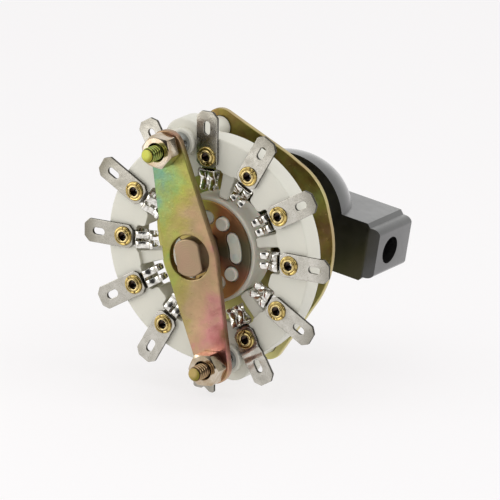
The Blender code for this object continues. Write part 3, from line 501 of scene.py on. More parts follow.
# %% [markdown]
# Three effects return in several finishes, so each is a node group that is built once. The
# first is mottle: soft patches, used for stains and for uneven polish. The second is a fine
# grain on the surface, as a normal. The third is the film of yellow zinc plating: a clear
# layer so thin that it turns from green through gold to pink as its thickness changes.


# %% Node groups
def new_group(name, output, kind, **numbers):
    """A node group with a Vector input, number inputs with their usual values, and one
    output."""
    tree = bpy.data.node_groups.new(name, "ShaderNodeTree")
    tree.interface.new_socket("Vector", in_out="INPUT", socket_type="NodeSocketVector")
    for label, value in numbers.items():
        tree.interface.new_socket(label, in_out="INPUT",
                                  socket_type="NodeSocketFloat").default_value = value
    tree.interface.new_socket(output, in_out="OUTPUT", socket_type="NodeSocket" + kind)
    source = tree.nodes.new("NodeGroupInput").outputs
    return Nodes(tree), source, tree.nodes.new("NodeGroupOutput").inputs[output]


def noise_of(group, source, **plain):
    """Noise at the group's own place and scale."""
    return group.add("TexNoise", {"Vector": source["Vector"], "Scale": source["Scale"],
                                  **plain}).outputs["Fac"]


def make_mottle():
    """Patches: noise whose values between Low and High are spread from 0 to 1."""
    group, source, result = new_group("mottle", "Mask", "Float", Scale=500.0, Low=0.35,
                                      High=0.65)
    noise = noise_of(group, source, Detail=4.0, Roughness=0.6)
    group.link(group.spread(noise, source["Low"], source["High"]), result)
    return group.tree


def make_grain():
    """A fine unevenness of the surface, as a normal."""
    group, source, result = new_group("grain", "Normal", "Vector", Scale=2000.0,
                                      Strength=0.1)
    noise = noise_of(group, source, Detail=3.0)
    bump = group.add("Bump", {"Strength": source["Strength"], "Distance": 0.0002,
                              "Height": noise})
    group.link(bump.outputs[0], result)
    return group.tree


def make_film():
    """The colour of a zinc film by its phase: teal, green, gold, tan, salmon, pink, brown."""
    group, source, result = new_group("zinc_film", "Color", "Color", Phase=0.4, Drift=0.15,
                                      Scale=120.0)
    noise = noise_of(group, source, Detail=5.0, Roughness=0.6, Distortion=0.4)
    centred = group.math("SUBTRACT", noise, 0.5)
    swing = group.math("MULTIPLY", centred, source["Drift"])
    phase = group.math("ADD", source["Phase"], swing, clamp=True)
    group.link(group.ramp(
        phase, (0.00, 112, 158, 130), (0.10, 136, 168, 100), (0.24, 162, 166, 82),
        (0.38, 168, 154, 90), (0.50, 172, 148, 110), (0.64, 182, 146, 116),
        (0.76, 190, 130, 126), (0.88, 166, 98, 98), (1.00, 112, 66, 48)), result)
    return group.tree


MOTTLE, GRAIN, FILM = make_mottle(), make_grain(), make_film()
print("groups:", [g.name for g in (MOTTLE, GRAIN, FILM)])

# %% [markdown]
# A finish is a material with one Principled shader, whose colour is laid on in coats. Only
# finishes need the next words: patches and grain from the groups, the depth attribute that
# some pieces carry, and the sheared sides of a punched part, found by the surface's normal.


# %% Finishes in the making
class Finish(Nodes):
    """A material, begun with one screen colour. The plain values go straight on the
    shader's sockets."""

    def __init__(self, name, colour=(255, 255, 255), **plain):
        self.material = bpy.data.materials.new(name)
        self.material.use_nodes = True
        super().__init__(self.material.node_tree)
        self.tree.nodes.clear()
        self.shader = self.add("BsdfPrincipled",
                               {key.replace("_", " "): plain[key] for key in plain})
        self.output = self.add("OutputMaterial", {0: self.shader.outputs[0]})
        coordinates = self.add("TexCoord").outputs
        self.place, self.normal = coordinates["Object"], coordinates["Normal"]
        self.colour = tint(*colour)

    def grouped(self, group, **inputs):
        """A node group's output at this place on the piece."""
        return self.add("Group", {"Vector": self.place, **inputs},
                        node_tree=group).outputs[0]

    def patches(self, scale, low=0.3, high=0.7, amount=1.0):
        """A mask of soft patches, times an amount."""
        mask = self.grouped(MOTTLE, Scale=scale, Low=low, High=high)
        return mask if amount == 1.0 else self.math("MULTIPLY", mask, amount)

    def depth(self, *limits):
        """The attribute named depth, spread between limits where they are given."""
        deep = self.add("Attribute", attribute_name="depth").outputs["Fac"]
        return self.spread(deep, *limits) if limits else deep

    def sides(self, amount):
        """The amount where the surface faces sideways, and 0 on the flat faces."""
        facing = self.math("ABSOLUTE", self.along(self.normal, (0.0, 1.0, 0.0)))
        return self.math("MULTIPLY", self.spread(facing, 0.3, 0.8, 1.0, 0.0), amount)

    def film(self, phase, drift, scale):
        """Starts the colour with a film of zinc."""
        self.colour = self.grouped(FILM, Phase=phase, Drift=drift, Scale=scale)

    def coat(self, share, *colour):
        """Lays a screen colour over what is there, by a share."""
        self.colour = self.mix(share, self.colour, tint(*colour))

    def rough(self, mask, at_0, at_1):
        """The roughness where a mask is 0 and where it is 1."""
        self.link(self.spread(mask, 0.0, 1.0, at_0, at_1), self.shader.inputs["Roughness"])

    def grain(self, scale, strength):
        """A fine unevenness of the surface."""
        self.link(self.grouped(GRAIN, Scale=scale, Strength=strength),
                  self.shader.inputs["Normal"])

    def done(self):
        """The material, with its colour linked."""
        self.link(self.colour, self.shader.inputs["Base Color"])
        return self.material


print("a finish knows", [word for word in vars(Finish) if word[0] != "_"])

# %% [markdown]
# Ceramic here is glazed steatite: warm white, a little glossy, with faint clouds in it. The
# white moulded drum is a softer, greyer white that lets some light in. The knob is black
# phenolic, pressed in a polished mould: its gloss is a clear coat over a slightly rougher
# body, and a faint ripple in the coat keeps the reflections alive.


# %% Ceramic, white plastic and black moulding
def make_ceramic():
    """Warm white with faint clouds, a few specks and a satin glaze."""
    finish = Finish("ceramic", (221, 219, 206), Roughness=0.32, IOR=1.52)
    clouds = finish.patches(90.0)
    finish.coat(clouds, 226, 223, 209)
    finish.coat(finish.patches(1500.0, 0.62, 0.72, 0.12), 176, 170, 150)
    finish.rough(clouds, 0.28, 0.4)
    finish.grain(700.0, 0.06)
    return finish.done()


def make_nylon():
    """Greyish white moulded plastic, a little see-through at the surface."""
    finish = Finish("nylon", (218, 214, 200), Roughness=0.42, IOR=1.53,
                    Subsurface_Weight=0.25, Subsurface_Scale=0.001)
    finish.coat(finish.patches(260.0), 206, 201, 184)
    finish.grain(900.0, 0.08)
    return finish.done()


def make_phenolic():
    """Near-black with a clear coat and a faint ripple."""
    finish = Finish("phenolic", (22, 22, 22), Roughness=0.3, IOR=1.6, Coat_Roughness=0.14,
                    Coat_Weight=1.0)
    clouds = finish.patches(300.0, 0.35)
    finish.coat(clouds, 30, 29, 28)
    finish.rough(clouds, 0.28, 0.4)
    finish.grain(350.0, 0.1)
    return finish.done()


CERAMIC, NYLON, PHENOLIC = make_ceramic(), make_nylon(), make_phenolic()
print("made", CERAMIC.name, NYLON.name, PHENOLIC.name)

# %% [markdown]
# The tabs are dipped in tin, which dries with small grey specks; painted shade darkens
# their side faces and a painted reflection darkens some tabs. The clips are silver plated
# and almost a mirror. The eyelets are polished brass, with painted shade that makes them
# nearly black down their bore. The sleeves and nuts are plain zinc, the springs bare steel.


# %% Bare metals
def metal(name, light, dark, patches, smooth, rough, grain):
    """A metal whose colour and roughness both vary with one set of patches."""
    finish = Finish(name, light, Metallic=1.0)
    mask = finish.patches(*patches)
    finish.coat(mask, *dark)
    finish.rough(mask, smooth, rough)
    finish.grain(*grain)
    return finish


def make_tin():
    """Tin with grey specks, and painted shade on the side faces. The depth attribute carries
    a painted reflection, which darkens a tab and darkens it more towards its tip."""
    finish = metal("tin", (206, 203, 194), (172, 169, 159), (330.0, 0.35, 0.7), 0.2, 0.34,
                   (900.0, 0.12))
    finish.coat(finish.patches(2400.0, 0.58, 0.66, 0.3), 120, 116, 104)
    # Painted reflection from the depth attribute: darker tin on some tabs and towards their
    # tips.
    finish.coat(finish.depth(), 122, 118, 106)
    # Painted shade: the faces that look sideways are darkened to near black.
    finish.coat(finish.sides(0.92), 48, 44, 36)
    return finish.done()


def make_brass():
    """Polished brass. The depth attribute carries painted shade that darkens it in the bore,
    the groove and the cracks, and where it is below 0 the rolled inner ring is paler."""
    finish = metal("brass", (204, 182, 116), (158, 132, 72), (900.0, 0.4, 0.7), 0.1, 0.24,
                   (700.0, 0.06))
    finish.coat(finish.depth(-1.0, 0.0, 0.5, 0.0), 222, 204, 158)
    # Painted shade in the bore, the groove between the rings and the cracks.
    finish.coat(finish.depth(0.0, 1.0), 52, 30, 18)
    return finish.done()


def make_pink_zinc():
    """The stud nuts' polished zinc, pinkish and tan, with painted shade that makes the bore
    nearly black.
    """
    finish = metal("pinkish_zinc", (204, 192, 174), (176, 156, 128), (300.0, 0.4, 0.65), 0.1,
                   0.2, (600.0, 0.03))
    # Painted shade in the bore.
    finish.coat(finish.depth(), 20, 14, 10)
    return finish.done()


SILVER = metal("silver", (236, 234, 228), (164, 160, 150), (900.0, 0.42, 0.68), 0.07, 0.22,
               (900.0, 0.4)).done()
ZINC = metal("zinc", (186, 190, 192), (150, 154, 156), (500.0, 0.4, 0.7), 0.16, 0.3,
             (900.0, 0.08)).done()
SPRING_STEEL = metal("spring_steel", (150, 150, 150), (116, 114, 112), (400.0, 0.4, 0.7),
                     0.25, 0.4, (1200.0, 0.1)).done()
TIN, BRASS, PINK_ZINC = make_tin(), make_brass(), make_pink_zinc()
print("made", [m.name for m in (TIN, SILVER, ZINC, PINK_ZINC, SPRING_STEEL, BRASS)])

# %% [markdown]
# Yellow zinc is what gives this switch its rainbow. The strap runs from teal under its upper
# nut through yellow-green to tan in the middle and pink near the lower nut. The film's
# phase is therefore worked out from the place along the strap, with one long edge further
# on than the other. On the strap, painted shade darkens the upper end and a painted shadow
# lies beside the lower nut. The plate's film drifts in wide patches, with a painted
# highlight on its rim, the disc's colours go round it and are painted lighter where the
# strap shades it, the studs have painted shade in their grooves, and the shaft's end has
# the fine rings of a lathe.


# %% Yellow zinc
def make_strap_zinc():
    """The strap's film: the phase follows the length and rises from one long edge to the
    other. A red-brown painted shadow lies beside the lower nut, painted shade darkens the
    strap towards its upper end, and the sheared sides are pale."""
    finish = Finish("yellow_zinc_strap", Metallic=1.0)
    lengthwise = finish.spread(finish.along(finish.place, STRAP_WAY), -0.032, 0.032)
    base = finish.ramp(lengthwise, (0.0, 0.62), (0.14, 0.8), (0.24, 0.62), (0.36, 0.46),
                       (0.5, 0.42), (0.63, 0.4), (0.73, 0.22), (0.84, 0.12), (0.92, 0.2),
                       (1.0, 0.6))
    sideways = finish.math("MULTIPLY", finish.along(finish.place, ACROSS_WAY), -26.0)
    finish.film(finish.math("ADD", base, sideways), 0.8, 120.0)
    fine = finish.patches(260.0)
    finish.coat(finish.math("MULTIPLY", fine, 0.3), 164, 146, 112)
    finish.coat(finish.patches(420.0, 0.6, 0.8, 0.35), 120, 90, 70)
    # Painted shadow: a dark red-brown spot beside the lower nut, where the nut shades the
    # strap.
    away = finish.add("VectorMath", {0: finish.place, 1: NUT_SHADOW_SPOT}, operation="DISTANCE")
    brown = finish.spread(away.outputs["Value"], 0.001, 0.0032, 0.85, 0.0)
    finish.coat(finish.math("MULTIPLY", brown, fine), 104, 44, 34)
    # Painted shade: the colour is multiplied by a grey that falls towards the strap's upper
    # end.
    shade = finish.ramp(lengthwise, (0.0, 1.0), (0.2, 0.98), (0.3, 0.84), (0.45, 0.76),
                        (0.62, 0.78), (1.0, 0.68))
    uneven = finish.spread(finish.patches(170.0), 0.0, 1.0, 0.92, 1.24)
    shade = finish.mix(1.0, shade, uneven, "MULTIPLY")
    finish.colour = finish.mix(1.0, finish.colour, shade, "MULTIPLY")
    finish.coat(finish.sides(0.25), 150, 132, 100)
    finish.rough(finish.patches(700.0), 0.26, 0.4)
    finish.grain(1700.0, 0.28)
    return finish.done()


def make_plate_zinc():
    """A film that drifts in patches. A brown darkens the patches, more so towards the top.
    The lower part is paler, and a painted highlight makes the sides of the rim pale."""
    finish = Finish("yellow_zinc_plate", Metallic=1.0)
    finish.film(0.3, 0.9, 110.0)
    height = finish.along(finish.place, UPWARDS)
    finish.coat(finish.math("MULTIPLY", finish.patches(88.0),
                            finish.spread(height, -0.02, 0.015, 0.2, 1.0)), 108, 68, 42)
    finish.coat(finish.spread(height, -0.022, 0.0, 0.75, 0.0), 206, 200, 140)
    # Painted highlight: the sides of the rounded rim are lightened as if lit.
    finish.coat(finish.sides(0.4), 226, 206, 166)
    finish.rough(finish.patches(700.0), 0.26, 0.42)
    finish.grain(1100.0, 0.1)
    return finish.done()


def make_disc_zinc():
    """The disc's film goes round it: green, red-brown, grey-green, mahogany, olive. Just past
    12 o'clock the colours are painted lighter, to make up for the strap's shadow there. The
    turn is the arc tangent of minus x over z, with some noise added."""
    finish = Finish("yellow_zinc_disc", Metallic=1.0)
    x, z = finish.along(finish.place, (-1.0, 0.0, 0.0)), finish.along(finish.place, UPWARDS)
    noise = finish.add("TexNoise", {"Vector": finish.place, "Scale": 200.0}).outputs["Fac"]
    turn = finish.math("ADD", finish.math("ARCTAN2", x, z),
                       finish.math("MULTIPLY", noise, 0.6))
    # Painted light: the bright stop at 0.50, just past 12 o'clock beside the strap, is lifted
    # against the strap's shadow.
    finish.colour = finish.ramp(
        finish.spread(turn, -math.pi + 0.3, math.pi + 0.3), (0.00, 196, 168, 108),
        (0.12, 170, 142, 92), (0.25, 160, 140, 90), (0.38, 176, 164, 98),
        (0.50, 214, 206, 112), (0.56, 206, 142, 100), (0.63, 132, 96, 66),
        (0.70, 100, 96, 72), (0.76, 106, 100, 80), (0.82, 154, 108, 86),
        (0.90, 196, 146, 94), (1.00, 196, 168, 108))
    finish.rough(finish.patches(700.0), 0.42, 0.56)
    finish.grain(1100.0, 0.1)
    return finish.done()


def make_thread_zinc(name, phase):
    """A stud's film, with painted shade in dark brown in the thread's grooves, and a
    yellow-green end.
    """
    finish = Finish(name, Metallic=1.0, Roughness=0.3)
    finish.film(phase, 0.3, 500.0)
    # Painted shade in the thread's grooves.
    finish.coat(finish.depth(0.2, 0.75, 0.0, 0.95), 38, 24, 14)
    finish.coat(finish.spread(finish.along(finish.place, (0.0, 1.0, 0.0)),
                              (STUD_END - 0.12) * MM, (STUD_END - 0.02) * MM, 0.0, 0.35),
                186, 176, 70)
    return finish.done()


def make_shaft_zinc():
    """Turned brass-coloured steel: rings from the lathe about the shaft's axis."""
    finish = Finish("turned_shaft", Metallic=1.0)
    finish.film(0.56, 0.5, 260.0)
    finish.coat(0.6, 138, 120, 104)
    flat = finish.add("Mapping", {"Vector": finish.place, "Scale": (1.0, 0.0, 1.0)})
    rings = finish.add("TexWave", {"Vector": flat.outputs[0], "Scale": 520.0,
                                   "Distortion": 2.0, "Detail": 2.0},
                       wave_type="RINGS", rings_direction="SPHERICAL").outputs["Fac"]
    bump = finish.add("Bump", {"Strength": 0.35, "Distance": 0.00005, "Height": rings})
    finish.link(bump.outputs[0], finish.shader.inputs["Normal"])
    finish.rough(rings, 0.34, 0.5)
    return finish.done()


STUD_LEAN = math.radians(-STUD_CLOCK)
STRAP_WAY = (math.sin(STUD_LEAN), 0.0, math.cos(STUD_LEAN))
ACROSS_WAY = (math.cos(STUD_LEAN), 0.0, -math.sin(STUD_LEAN))
UPWARDS = (0.0, 0.0, 1.0)
# The middle of the painted shadow beside the lower nut.
NUT_SHADOW_SPOT = (-0.0115, 0.0285, -0.0245)
STRAP_ZINC, DISC_ZINC, SHAFT_ZINC = make_strap_zinc(), make_disc_zinc(), make_shaft_zinc()
PLATE_ZINC = make_plate_zinc()
GREEN_STUD = make_thread_zinc("green_stud", 0.2)
GOLD_STUD = make_thread_zinc("gold_stud", 0.55)
print("made", [m.name for m in (STRAP_ZINC, DISC_ZINC, SHAFT_ZINC, PLATE_ZINC, GREEN_STUD)])

# %% [markdown]
# The wafer is the switch's skeleton: a thick ceramic ring with two ears for the studs, and
# six spokes that reach in to guide the rotor. Between the spokes are windows for the clips,
# with a land of ceramic between each two clips. It is pressed in one piece. Here the ring
# is one flat part with a rounded edge, and the spokes are lower bars set into it. A collar
# on each ear takes the load of the sleeve.


# %% The ceramic wafer
def wafer_rim():
    """The outer edge. In each direction the radius is that of the wafer, or of an ear where
    that is more: the stud circle times cos a, plus the root of the ear's radius squared less
    the square of the stud circle times sin a. A running mean then fills the corner."""
    angle = np.arange(0.0, 360.0, 0.6)
    off = np.radians((angle - STUD_CLOCK + 90.0) % 180.0 - 90.0)
    side = STUD_CIRCLE * np.sin(off)
    reach = np.sqrt(np.maximum(EAR_RADIUS ** 2 - side ** 2, 0.0))
    ear = np.where(np.abs(side) < EAR_RADIUS, STUD_CIRCLE * np.cos(off) + reach, 0.0)
    radius = np.maximum(STATOR_RADIUS, ear)
    kernel = np.ones(9) / 9
    radius = np.convolve(np.concatenate([radius[-4:], radius, radius[:4]]), kernel, "valid")
    return clock(radius, angle)


def wafer_windows():
    """The inner edge, a sixth at a time: the spoke's foot, a pocket, the land, a pocket. The
    side is a table of radius, clock angle from the land's middle, and how far each corner
    is rounded."""
    side = np.array([(LAND_RADIUS, 6.0, 1.4), (WINDOW_RADIUS, 6.4, 1.0),
                     (WINDOW_RADIUS, 11.0, 0.0), (WINDOW_RADIUS, 15.5, 0.0),
                     (WINDOW_RADIUS, 20.0, 0.0), (WINDOW_RADIUS, 24.5, 0.3),
                     (SPOKE_STEP_RADIUS, 25.8, 0.3)])
    sixth = np.concatenate([[(SPOKE_STEP_RADIUS, -30.0, 0.0)], side[::-1] * (1, -1, 1),
                            [(LAND_RADIUS - 0.1, 0.0, 0.4)], side])
    table = np.concatenate([sixth + (0.0, middle, 0.0) for middle in range(45, 405, 60)])
    return soften(clock(table[:, 0], table[:, 1]), table[:, 2], 6)


EAR_RADIUS = 6.2
SPOKE_HALF = 5.0
COLLAR_RADIUS, COLLAR_BACK = 3.75, 21.5
RIVET_HOLE, COLLAR_BORE, COLLAR_FOOT = 1.7, 2.3, 19.2
rivet_holes = [ring(RIVET_HOLE, 32, clock(RIVET_RADIUS, angle))
               for angle in TERMINALS.values()]
body = plate([wafer_rim(), wafer_windows()] + rivet_holes, STATOR_FRONT, STATOR_BACK,
             edge=[0.45, 0.16] + [0.1] * 12, steps=6)
arc_in = clock(BORE_RADIUS, np.linspace(-SPOKE_HALF, SPOKE_HALF, 3))
arc_out = clock(WINDOW_RADIUS + 1.0, np.linspace(SPOKE_HALF, -SPOKE_HALF, 3))
bar = plate([soften(np.concatenate([arc_in, arc_out]), 0.6, 6)], STATOR_FRONT + 0.02,
            SPOKE_BACK, edge=0.3, steps=4)
spokes = [spin(bar, angle) for angle in range(15, 375, 60)]
collars = [sleeve_shell(COLLAR_RADIUS, COLLAR_BORE, COLLAR_FOOT, COLLAR_BACK, centre, 0.4)
           for centre in (UPPER, LOWER)]
build("wafer", [body] + spokes + collars, "frame", ["stator_wafer"], CERAMIC)

# %% [markdown]
# Each terminal is a flat tab punched from brass strip and tinned, with a slot for the wire.
# Real tabs are never quite in one plane, and the one at 5 o'clock has a kink, which flashes
# like a mirror. A kink only shows if the mesh has points to bend, so the tab's faces are
# filled with a fine net of points, which are then lifted along a smooth wave.


# %% The solder tabs
def tab_shell(kink, lean, painted_reflection, tip_painted_reflection, longer, torn):
    """A tab along the clock face's 12 o'clock line. A kink lifts it past the eyelet and again
    a little further out, each time as a bell curve: exp(-d squared), where d is the distance
    over the bell's width. A torn tip has two uneven prongs. The painted reflection is how
    much darker the tin is painted, for the darker surroundings that the tab reflects, and
    it darkens further towards the tip."""
    half, tip, root = TAB_HALF, TAB_TIP + longer, 1.1
    tip_end = [(half, tip - 1.5), (half - 1.5, tip), (1.5 - half, tip), (-half, tip - 1.5)]
    if torn:
        tip_end = [(half, tip - 0.4), (half - 0.4, tip), (1.7, tip - 0.1), (0.0, tip - 1.35),
                   (-0.7, tip - 0.75), (0.5 - half, tip - 0.85), (-half, tip - 1.25)]
    outline = [(-half + root, TAB_INNER), (half - root, TAB_INNER), (half, TAB_INNER + root),
               *tip_end, (-half, TAB_INNER + root)]
    outline = densify(soften(outline, 0.22, 4), 0.9)
    slot = hull_of([(0.0, end, SLOT_HALF) for end in SLOT_ENDS], 40)
    hole = ring(TAB_HOLE, 32, (0.0, RIVET_RADIUS))
    points, faces = plate([outline, slot, hole], TAB_FRONT, TAB_BACK, 0.1, 4, spacing=0.6)
    bells = sum(high * np.exp(-((points[:, 2] - KINK_PLACE - further) / wide) ** 2)
                for further, wide, high in KINK_BELLS)
    lift = kink * bells + np.radians(lean) * (points[:, 2] - RIVET_RADIUS)
    points = points + np.stack([0 * lift, lift, 0 * lift], -1)
    # Painted reflection: the tab is painted darker for the darker surroundings it reflects,
    # and more so towards the tip.
    to_tip = np.clip((points[:, 2] - 33.0) / 3.5, 0.0, 1.0)
    return points, faces, np.clip(painted_reflection + tip_painted_reflection * to_tip, 0.0, 1.0)


SLOT_ENDS, SLOT_HALF, TAB_HOLE = (31.95, 33.65), 0.95, 1.75
KINK_PLACE = 28.1
KINK_BELLS = ((0.0, 1.25, 1.0), (2.65, 0.4, 0.4))
KINKS = {6: 0.62}
LONGER = {6: 0.6, 7: 0.8}
LEANS = {1: 0.5, 2: -0.3, 4: 0.6, 5: 0.4, 8: 0.3, 9: -0.4, 10: 0.3, 11: -0.3, 12: 0.5}
# How much darker each tab, and each tip, is painted as a painted reflection.
PAINTED_REFLECTION = {1: 0.05, 2: 0.3, 3: 0.2, 4: 0.05, 5: 0.05, 6: 0.0, 7: 0.0, 8: 0.05, 9: 0.2,
        10: 0.45, 11: 0.5, 12: 0.15}
TIP_PAINTED_REFLECTION = {6: 0.0, 8: 0.0, 9: 0.05}
for number, angle in TERMINALS.items():
    shell = tab_shell(KINKS.get(number, 0.0), LEANS.get(number, 0.0), PAINTED_REFLECTION[number],
                      TIP_PAINTED_REFLECTION.get(number, 0.5), LONGER.get(number, 0.0), number == 7)
    build(f"solder_tab_{number:02d}", [spin(shell, angle)], "frame",
          [f"tab_{number:02d}"], TIN)

# %% [markdown]
# A brass eyelet rivets each tab to the wafer. Its end is rolled over by a punch, which
# leaves two bright rings with a groove between them and a slightly uneven rim. It is a
# closed profile turned about the rivet's axis. A small wave round it gives the unevenness,
# three small cracks break its rim, and the depth attribute carries painted shade that
# darkens cracks, groove and bore.


# %% The eyelets
def eyelet_shell(number):
    """One eyelet at 12 o'clock. Its rim rises and falls by a few hundredths of a millimetre
    with the sine of three and of five times the angle."""
    profile = [(1.10, 20.9), (1.13, 21.15), (1.26, 21.36), (1.46, 21.44), (1.66, 21.34),
               (1.78, 21.12), (1.92, 21.06), (2.10, 21.16), (2.32, 21.16), (2.50, 21.02),
               (2.60, 20.84), (2.56, 20.68), (2.30, 20.62), (1.62, 20.62), (1.62, 12.80),
               (2.45, 12.78), (2.60, 12.62), (2.45, 12.38), (1.95, 12.2), (1.40, 12.2),
               (1.14, 12.40), (1.10, 12.8)]
    cracks = CRACKS.uniform(0.0, 2 * np.pi, 3)

    def crack(a, radius):
        turn = np.abs((a[..., None] - cracks + np.pi) % (2 * np.pi) - np.pi).min(axis=-1)
        return np.clip(1.6 - turn / 0.07, 0.0, 1.0) * np.clip((radius - 1.7) / 0.2, 0.0, 1.0)

    def wobble(a, radius, y):
        at_rear = np.clip((y - TAB_BACK) / 0.5, 0.0, 1.0)
        wave = np.sin(3 * a + number) + 0.6 * np.sin(5 * a + 2.3 * number)
        drop = 0.15 * at_rear * crack(a, radius)
        return radius * (1 + 0.012 * at_rear * wave), y + 0.045 * at_rear * wave - drop

    profile = soften(profile, 0.12, 3)
    points, faces = revolve(profile, (0.0, RIVET_RADIUS), 72, True, wobble)
    x, z = points[:, 0], points[:, 2] - RIVET_RADIUS
    radius = np.hypot(x, z)
    # Painted shade: the bore, the groove between the rings and the cracks get a depth that the
    # brass finish darkens.
    bore = np.clip((21.15 - points[:, 1]) / 0.3, 0.0, 1.0) * (radius < 1.3)
    valley = np.clip(1 - np.abs(radius - 1.86) / 0.16, 0.0, 1.0) * 0.6
    split = 0.8 * crack(np.arctan2(z, x), radius)
    deep = np.maximum(bore, np.maximum(valley, split) * (points[:, 1] > TAB_BACK))
    pale = np.clip((1.76 - radius) / 0.08, 0.0, 1.0) * (points[:, 1] > 21.18) * (deep < 0.1)
    return points, faces, deep - pale


CRACKS = np.random.default_rng(7)
for number, angle in TERMINALS.items():
    build(f"brass_eyelet_{number:02d}", [spin(eyelet_shell(number), angle)], "frame",
          [f"eyelet_{number:02d}"], BRASS, crease=60.0)

# %% [markdown]
# The clips are what the rotor's contact slides into. Each is bent from thin silvered strip:
# a tail under the tab, then two leaves, split in two fingers, which squeeze together and
# flare at the mouth. As in the workshop, each leaf is cut flat and then bent. The flat
# blank lies along a straight line, and bending carries every point of it to the same
# distance along a curve, offset by its height along the curve's normal.


# %% The spring clips
def flowing(points, rounds=3):
    """A smooth path by cutting corners: each point gives way to two, a quarter and three
    quarters along the side to the next one. The ends stay."""
    path = np.asarray(points, float)
    for _ in range(rounds):
        near = path[:-1] * 0.75 + path[1:] * 0.25
        far = path[:-1] * 0.25 + path[1:] * 0.75
        middle = np.stack([near, far], 1).reshape(-1, 2)
        path = np.concatenate([path[:1], middle, path[-1:]])
    return path


def bent(shell, path):
    """A flat blank bent along a path of (radius, y): its z is the distance along the path,
    and its y is the height off it."""
    step = np.linalg.norm(np.diff(path, axis=0), axis=1)
    distance = np.concatenate([[0.0], np.cumsum(step)])
    way = np.gradient(path, distance, axis=0)
    way /= np.linalg.norm(way, axis=1, keepdims=True)
    points = shell[0]
    at = points[:, 2]
    radius, y, along_r, along_y = (np.interp(at, distance, column) for column in
                                   (path[:, 0], path[:, 1], way[:, 0], way[:, 1]))
    radius = radius + along_y * points[:, 1]
    y = y - along_r * points[:, 1]
    return np.stack([points[:, 0], y, radius], -1), shell[1]


def leaf_shell(path, slit_radius, crown):
    """A leaf with a slit that is open at the mouth, bent along its path. Past the root of
    the slit each finger is crowned: the sheet falls away from the finger's middle by the
    crown times the square of the distance over the finger's half width."""
    distance = np.concatenate([[0.0], np.linalg.norm(np.diff(path, axis=0), axis=1).cumsum()])
    long, slit_from = distance[-1], distance[np.argmax(path[:, 0] < slit_radius)]
    half, slit = CLIP_WIDE / 2, CLIP_SLIT / 2
    outline = mirrored([(half, 0.0), (half, long - 0.9), (half - 0.25, long),
                        (slit + 0.15, long), (slit, long - 0.8), (slit, slit_from)])
    outline = densify(soften(outline, 0.22, 3), 0.3)
    points, faces = plate([outline], -CLIP_SHEET / 2, CLIP_SHEET / 2, 0.07, 3, spacing=0.3)
    off_middle = (np.abs(points[:, 0]) - (half + slit) / 2) / ((half - slit) / 2)
    share = np.clip((points[:, 2] - slit_from) / 0.8, 0.0, 1.0)
    points[:, 1] -= crown * share * off_middle ** 2
    return bent((points, faces), path)


def varied(path, hump, mouth):
    """A rear leaf's path with its height over the tail scaled and its mouth lifted."""
    radius, y = np.array(path).T
    y = TAIL_Y + (y - TAIL_Y) * hump + mouth * np.clip((18.0 - radius) / 1.8, 0.0, 1.0)
    return flowing(np.stack([radius, y], -1))


CLIP_WIDE, CLIP_SLIT, CLIP_SHEET, CLIP_CROWN = 4.5, 0.85, 0.3, 0.15
TAIL_Y = 19.42
REAR_LEAF = [(27.9, 19.42), (24.0, 19.42), (22.1, 19.42), (21.7, 19.45), (21.55, 20.2),
             (21.3, 20.7), (20.7, 20.82), (20.0, 20.7), (19.4, 20.22), (18.9, 19.96),
             (18.1, 19.83), (17.6, 19.9), (17.3, 20.12), (17.0, 20.42), (16.5, 20.5),
             (16.2, 20.4)]
FRONT_LEAF = [(22.4, 19.30), (21.7, 19.25), (21.6, 18.7), (21.45, 18.0), (20.9, 17.6),
              (20.1, 17.65), (19.4, 17.95), (18.8, 18.35), (18.0, 18.5), (17.4, 18.4),
              (17.0, 18.2), (16.6, 17.8), (16.2, 17.6)]
BENDS = np.random.default_rng(11)
front_leaf = leaf_shell(flowing(FRONT_LEAF), 20.95, -CLIP_CROWN)
for number, angle in TERMINALS.items():
    hump, mouth, skew = BENDS.uniform((0.86, -0.2, -1.2), (1.04, 0.06, 1.2))
    rear_leaf = leaf_shell(varied(REAR_LEAF, hump, mouth), 21.4, CLIP_CROWN)
    build(f"spring_clip_{number:02d}", [spin(rear_leaf, angle + skew),
                                        spin(front_leaf, angle)],
          "frame", [f"clip_{number:02d}"], SILVER, crease=40.0)

# %% [markdown]
# Two long studs hold the stack together: front plate, spacers, wafer, sleeves and strap,
# with a nut on each at the rear. The thread is modelled, because its dark lines are plain
# to see, and painted shade darkens its grooves. The studs' front ends are countersunk into
# the plate.


# %% Studs, nuts, sleeves and spacers
def stud_shells(centre):
    """A stud: a countersunk head, a plain shank and a thread from the strap on."""
    shank = revolve([(0.0, 0.2), (3.3, 0.2), (3.4, 0.3), (2.0, 1.7), (1.9, 27.0),
                     (0.0, 27.0)], centre, 48)
    return [shank, screw_thread(STUD_RADIUS, 26.6, STUD_END, 1.0, centre, 48, 0.36)]


NUT_FLATS, NUT_BORE, NUT_FRONT, NUT_BACK = 8.0, 2.2, 28.62, 33.4
STEEL_SLEEVE = 2.9, 2.3, 21.35, 26.45
CERAMIC_SPACER = 3.0, 2.3, 1.6, 12.95
for label, centre, finish, phase in (("upper", UPPER, GREEN_STUD, -0.35),
                                     ("lower", LOWER, GOLD_STUD, 0.43)):
    build(f"long_stud_{label}", stud_shells(centre), "frame", [f"stud_{label}"],
          finish)
    nut = hexagon_nut(NUT_FLATS, NUT_BORE, NUT_FRONT, NUT_BACK, centre, phase)
    build(f"hexagon_nut_{label}", [nut], "frame", [f"stud_nut_{label}"], PINK_ZINC,
          crease=22.0)
    build(f"steel_sleeve_{label}", [sleeve_shell(*STEEL_SLEEVE, centre)], "frame",
          [f"sleeve_{label}"], ZINC)
    build(f"ceramic_spacer_{label}", [sleeve_shell(*CERAMIC_SPACER, centre)], "frame",
          [f"spacer_{label}"], CERAMIC)

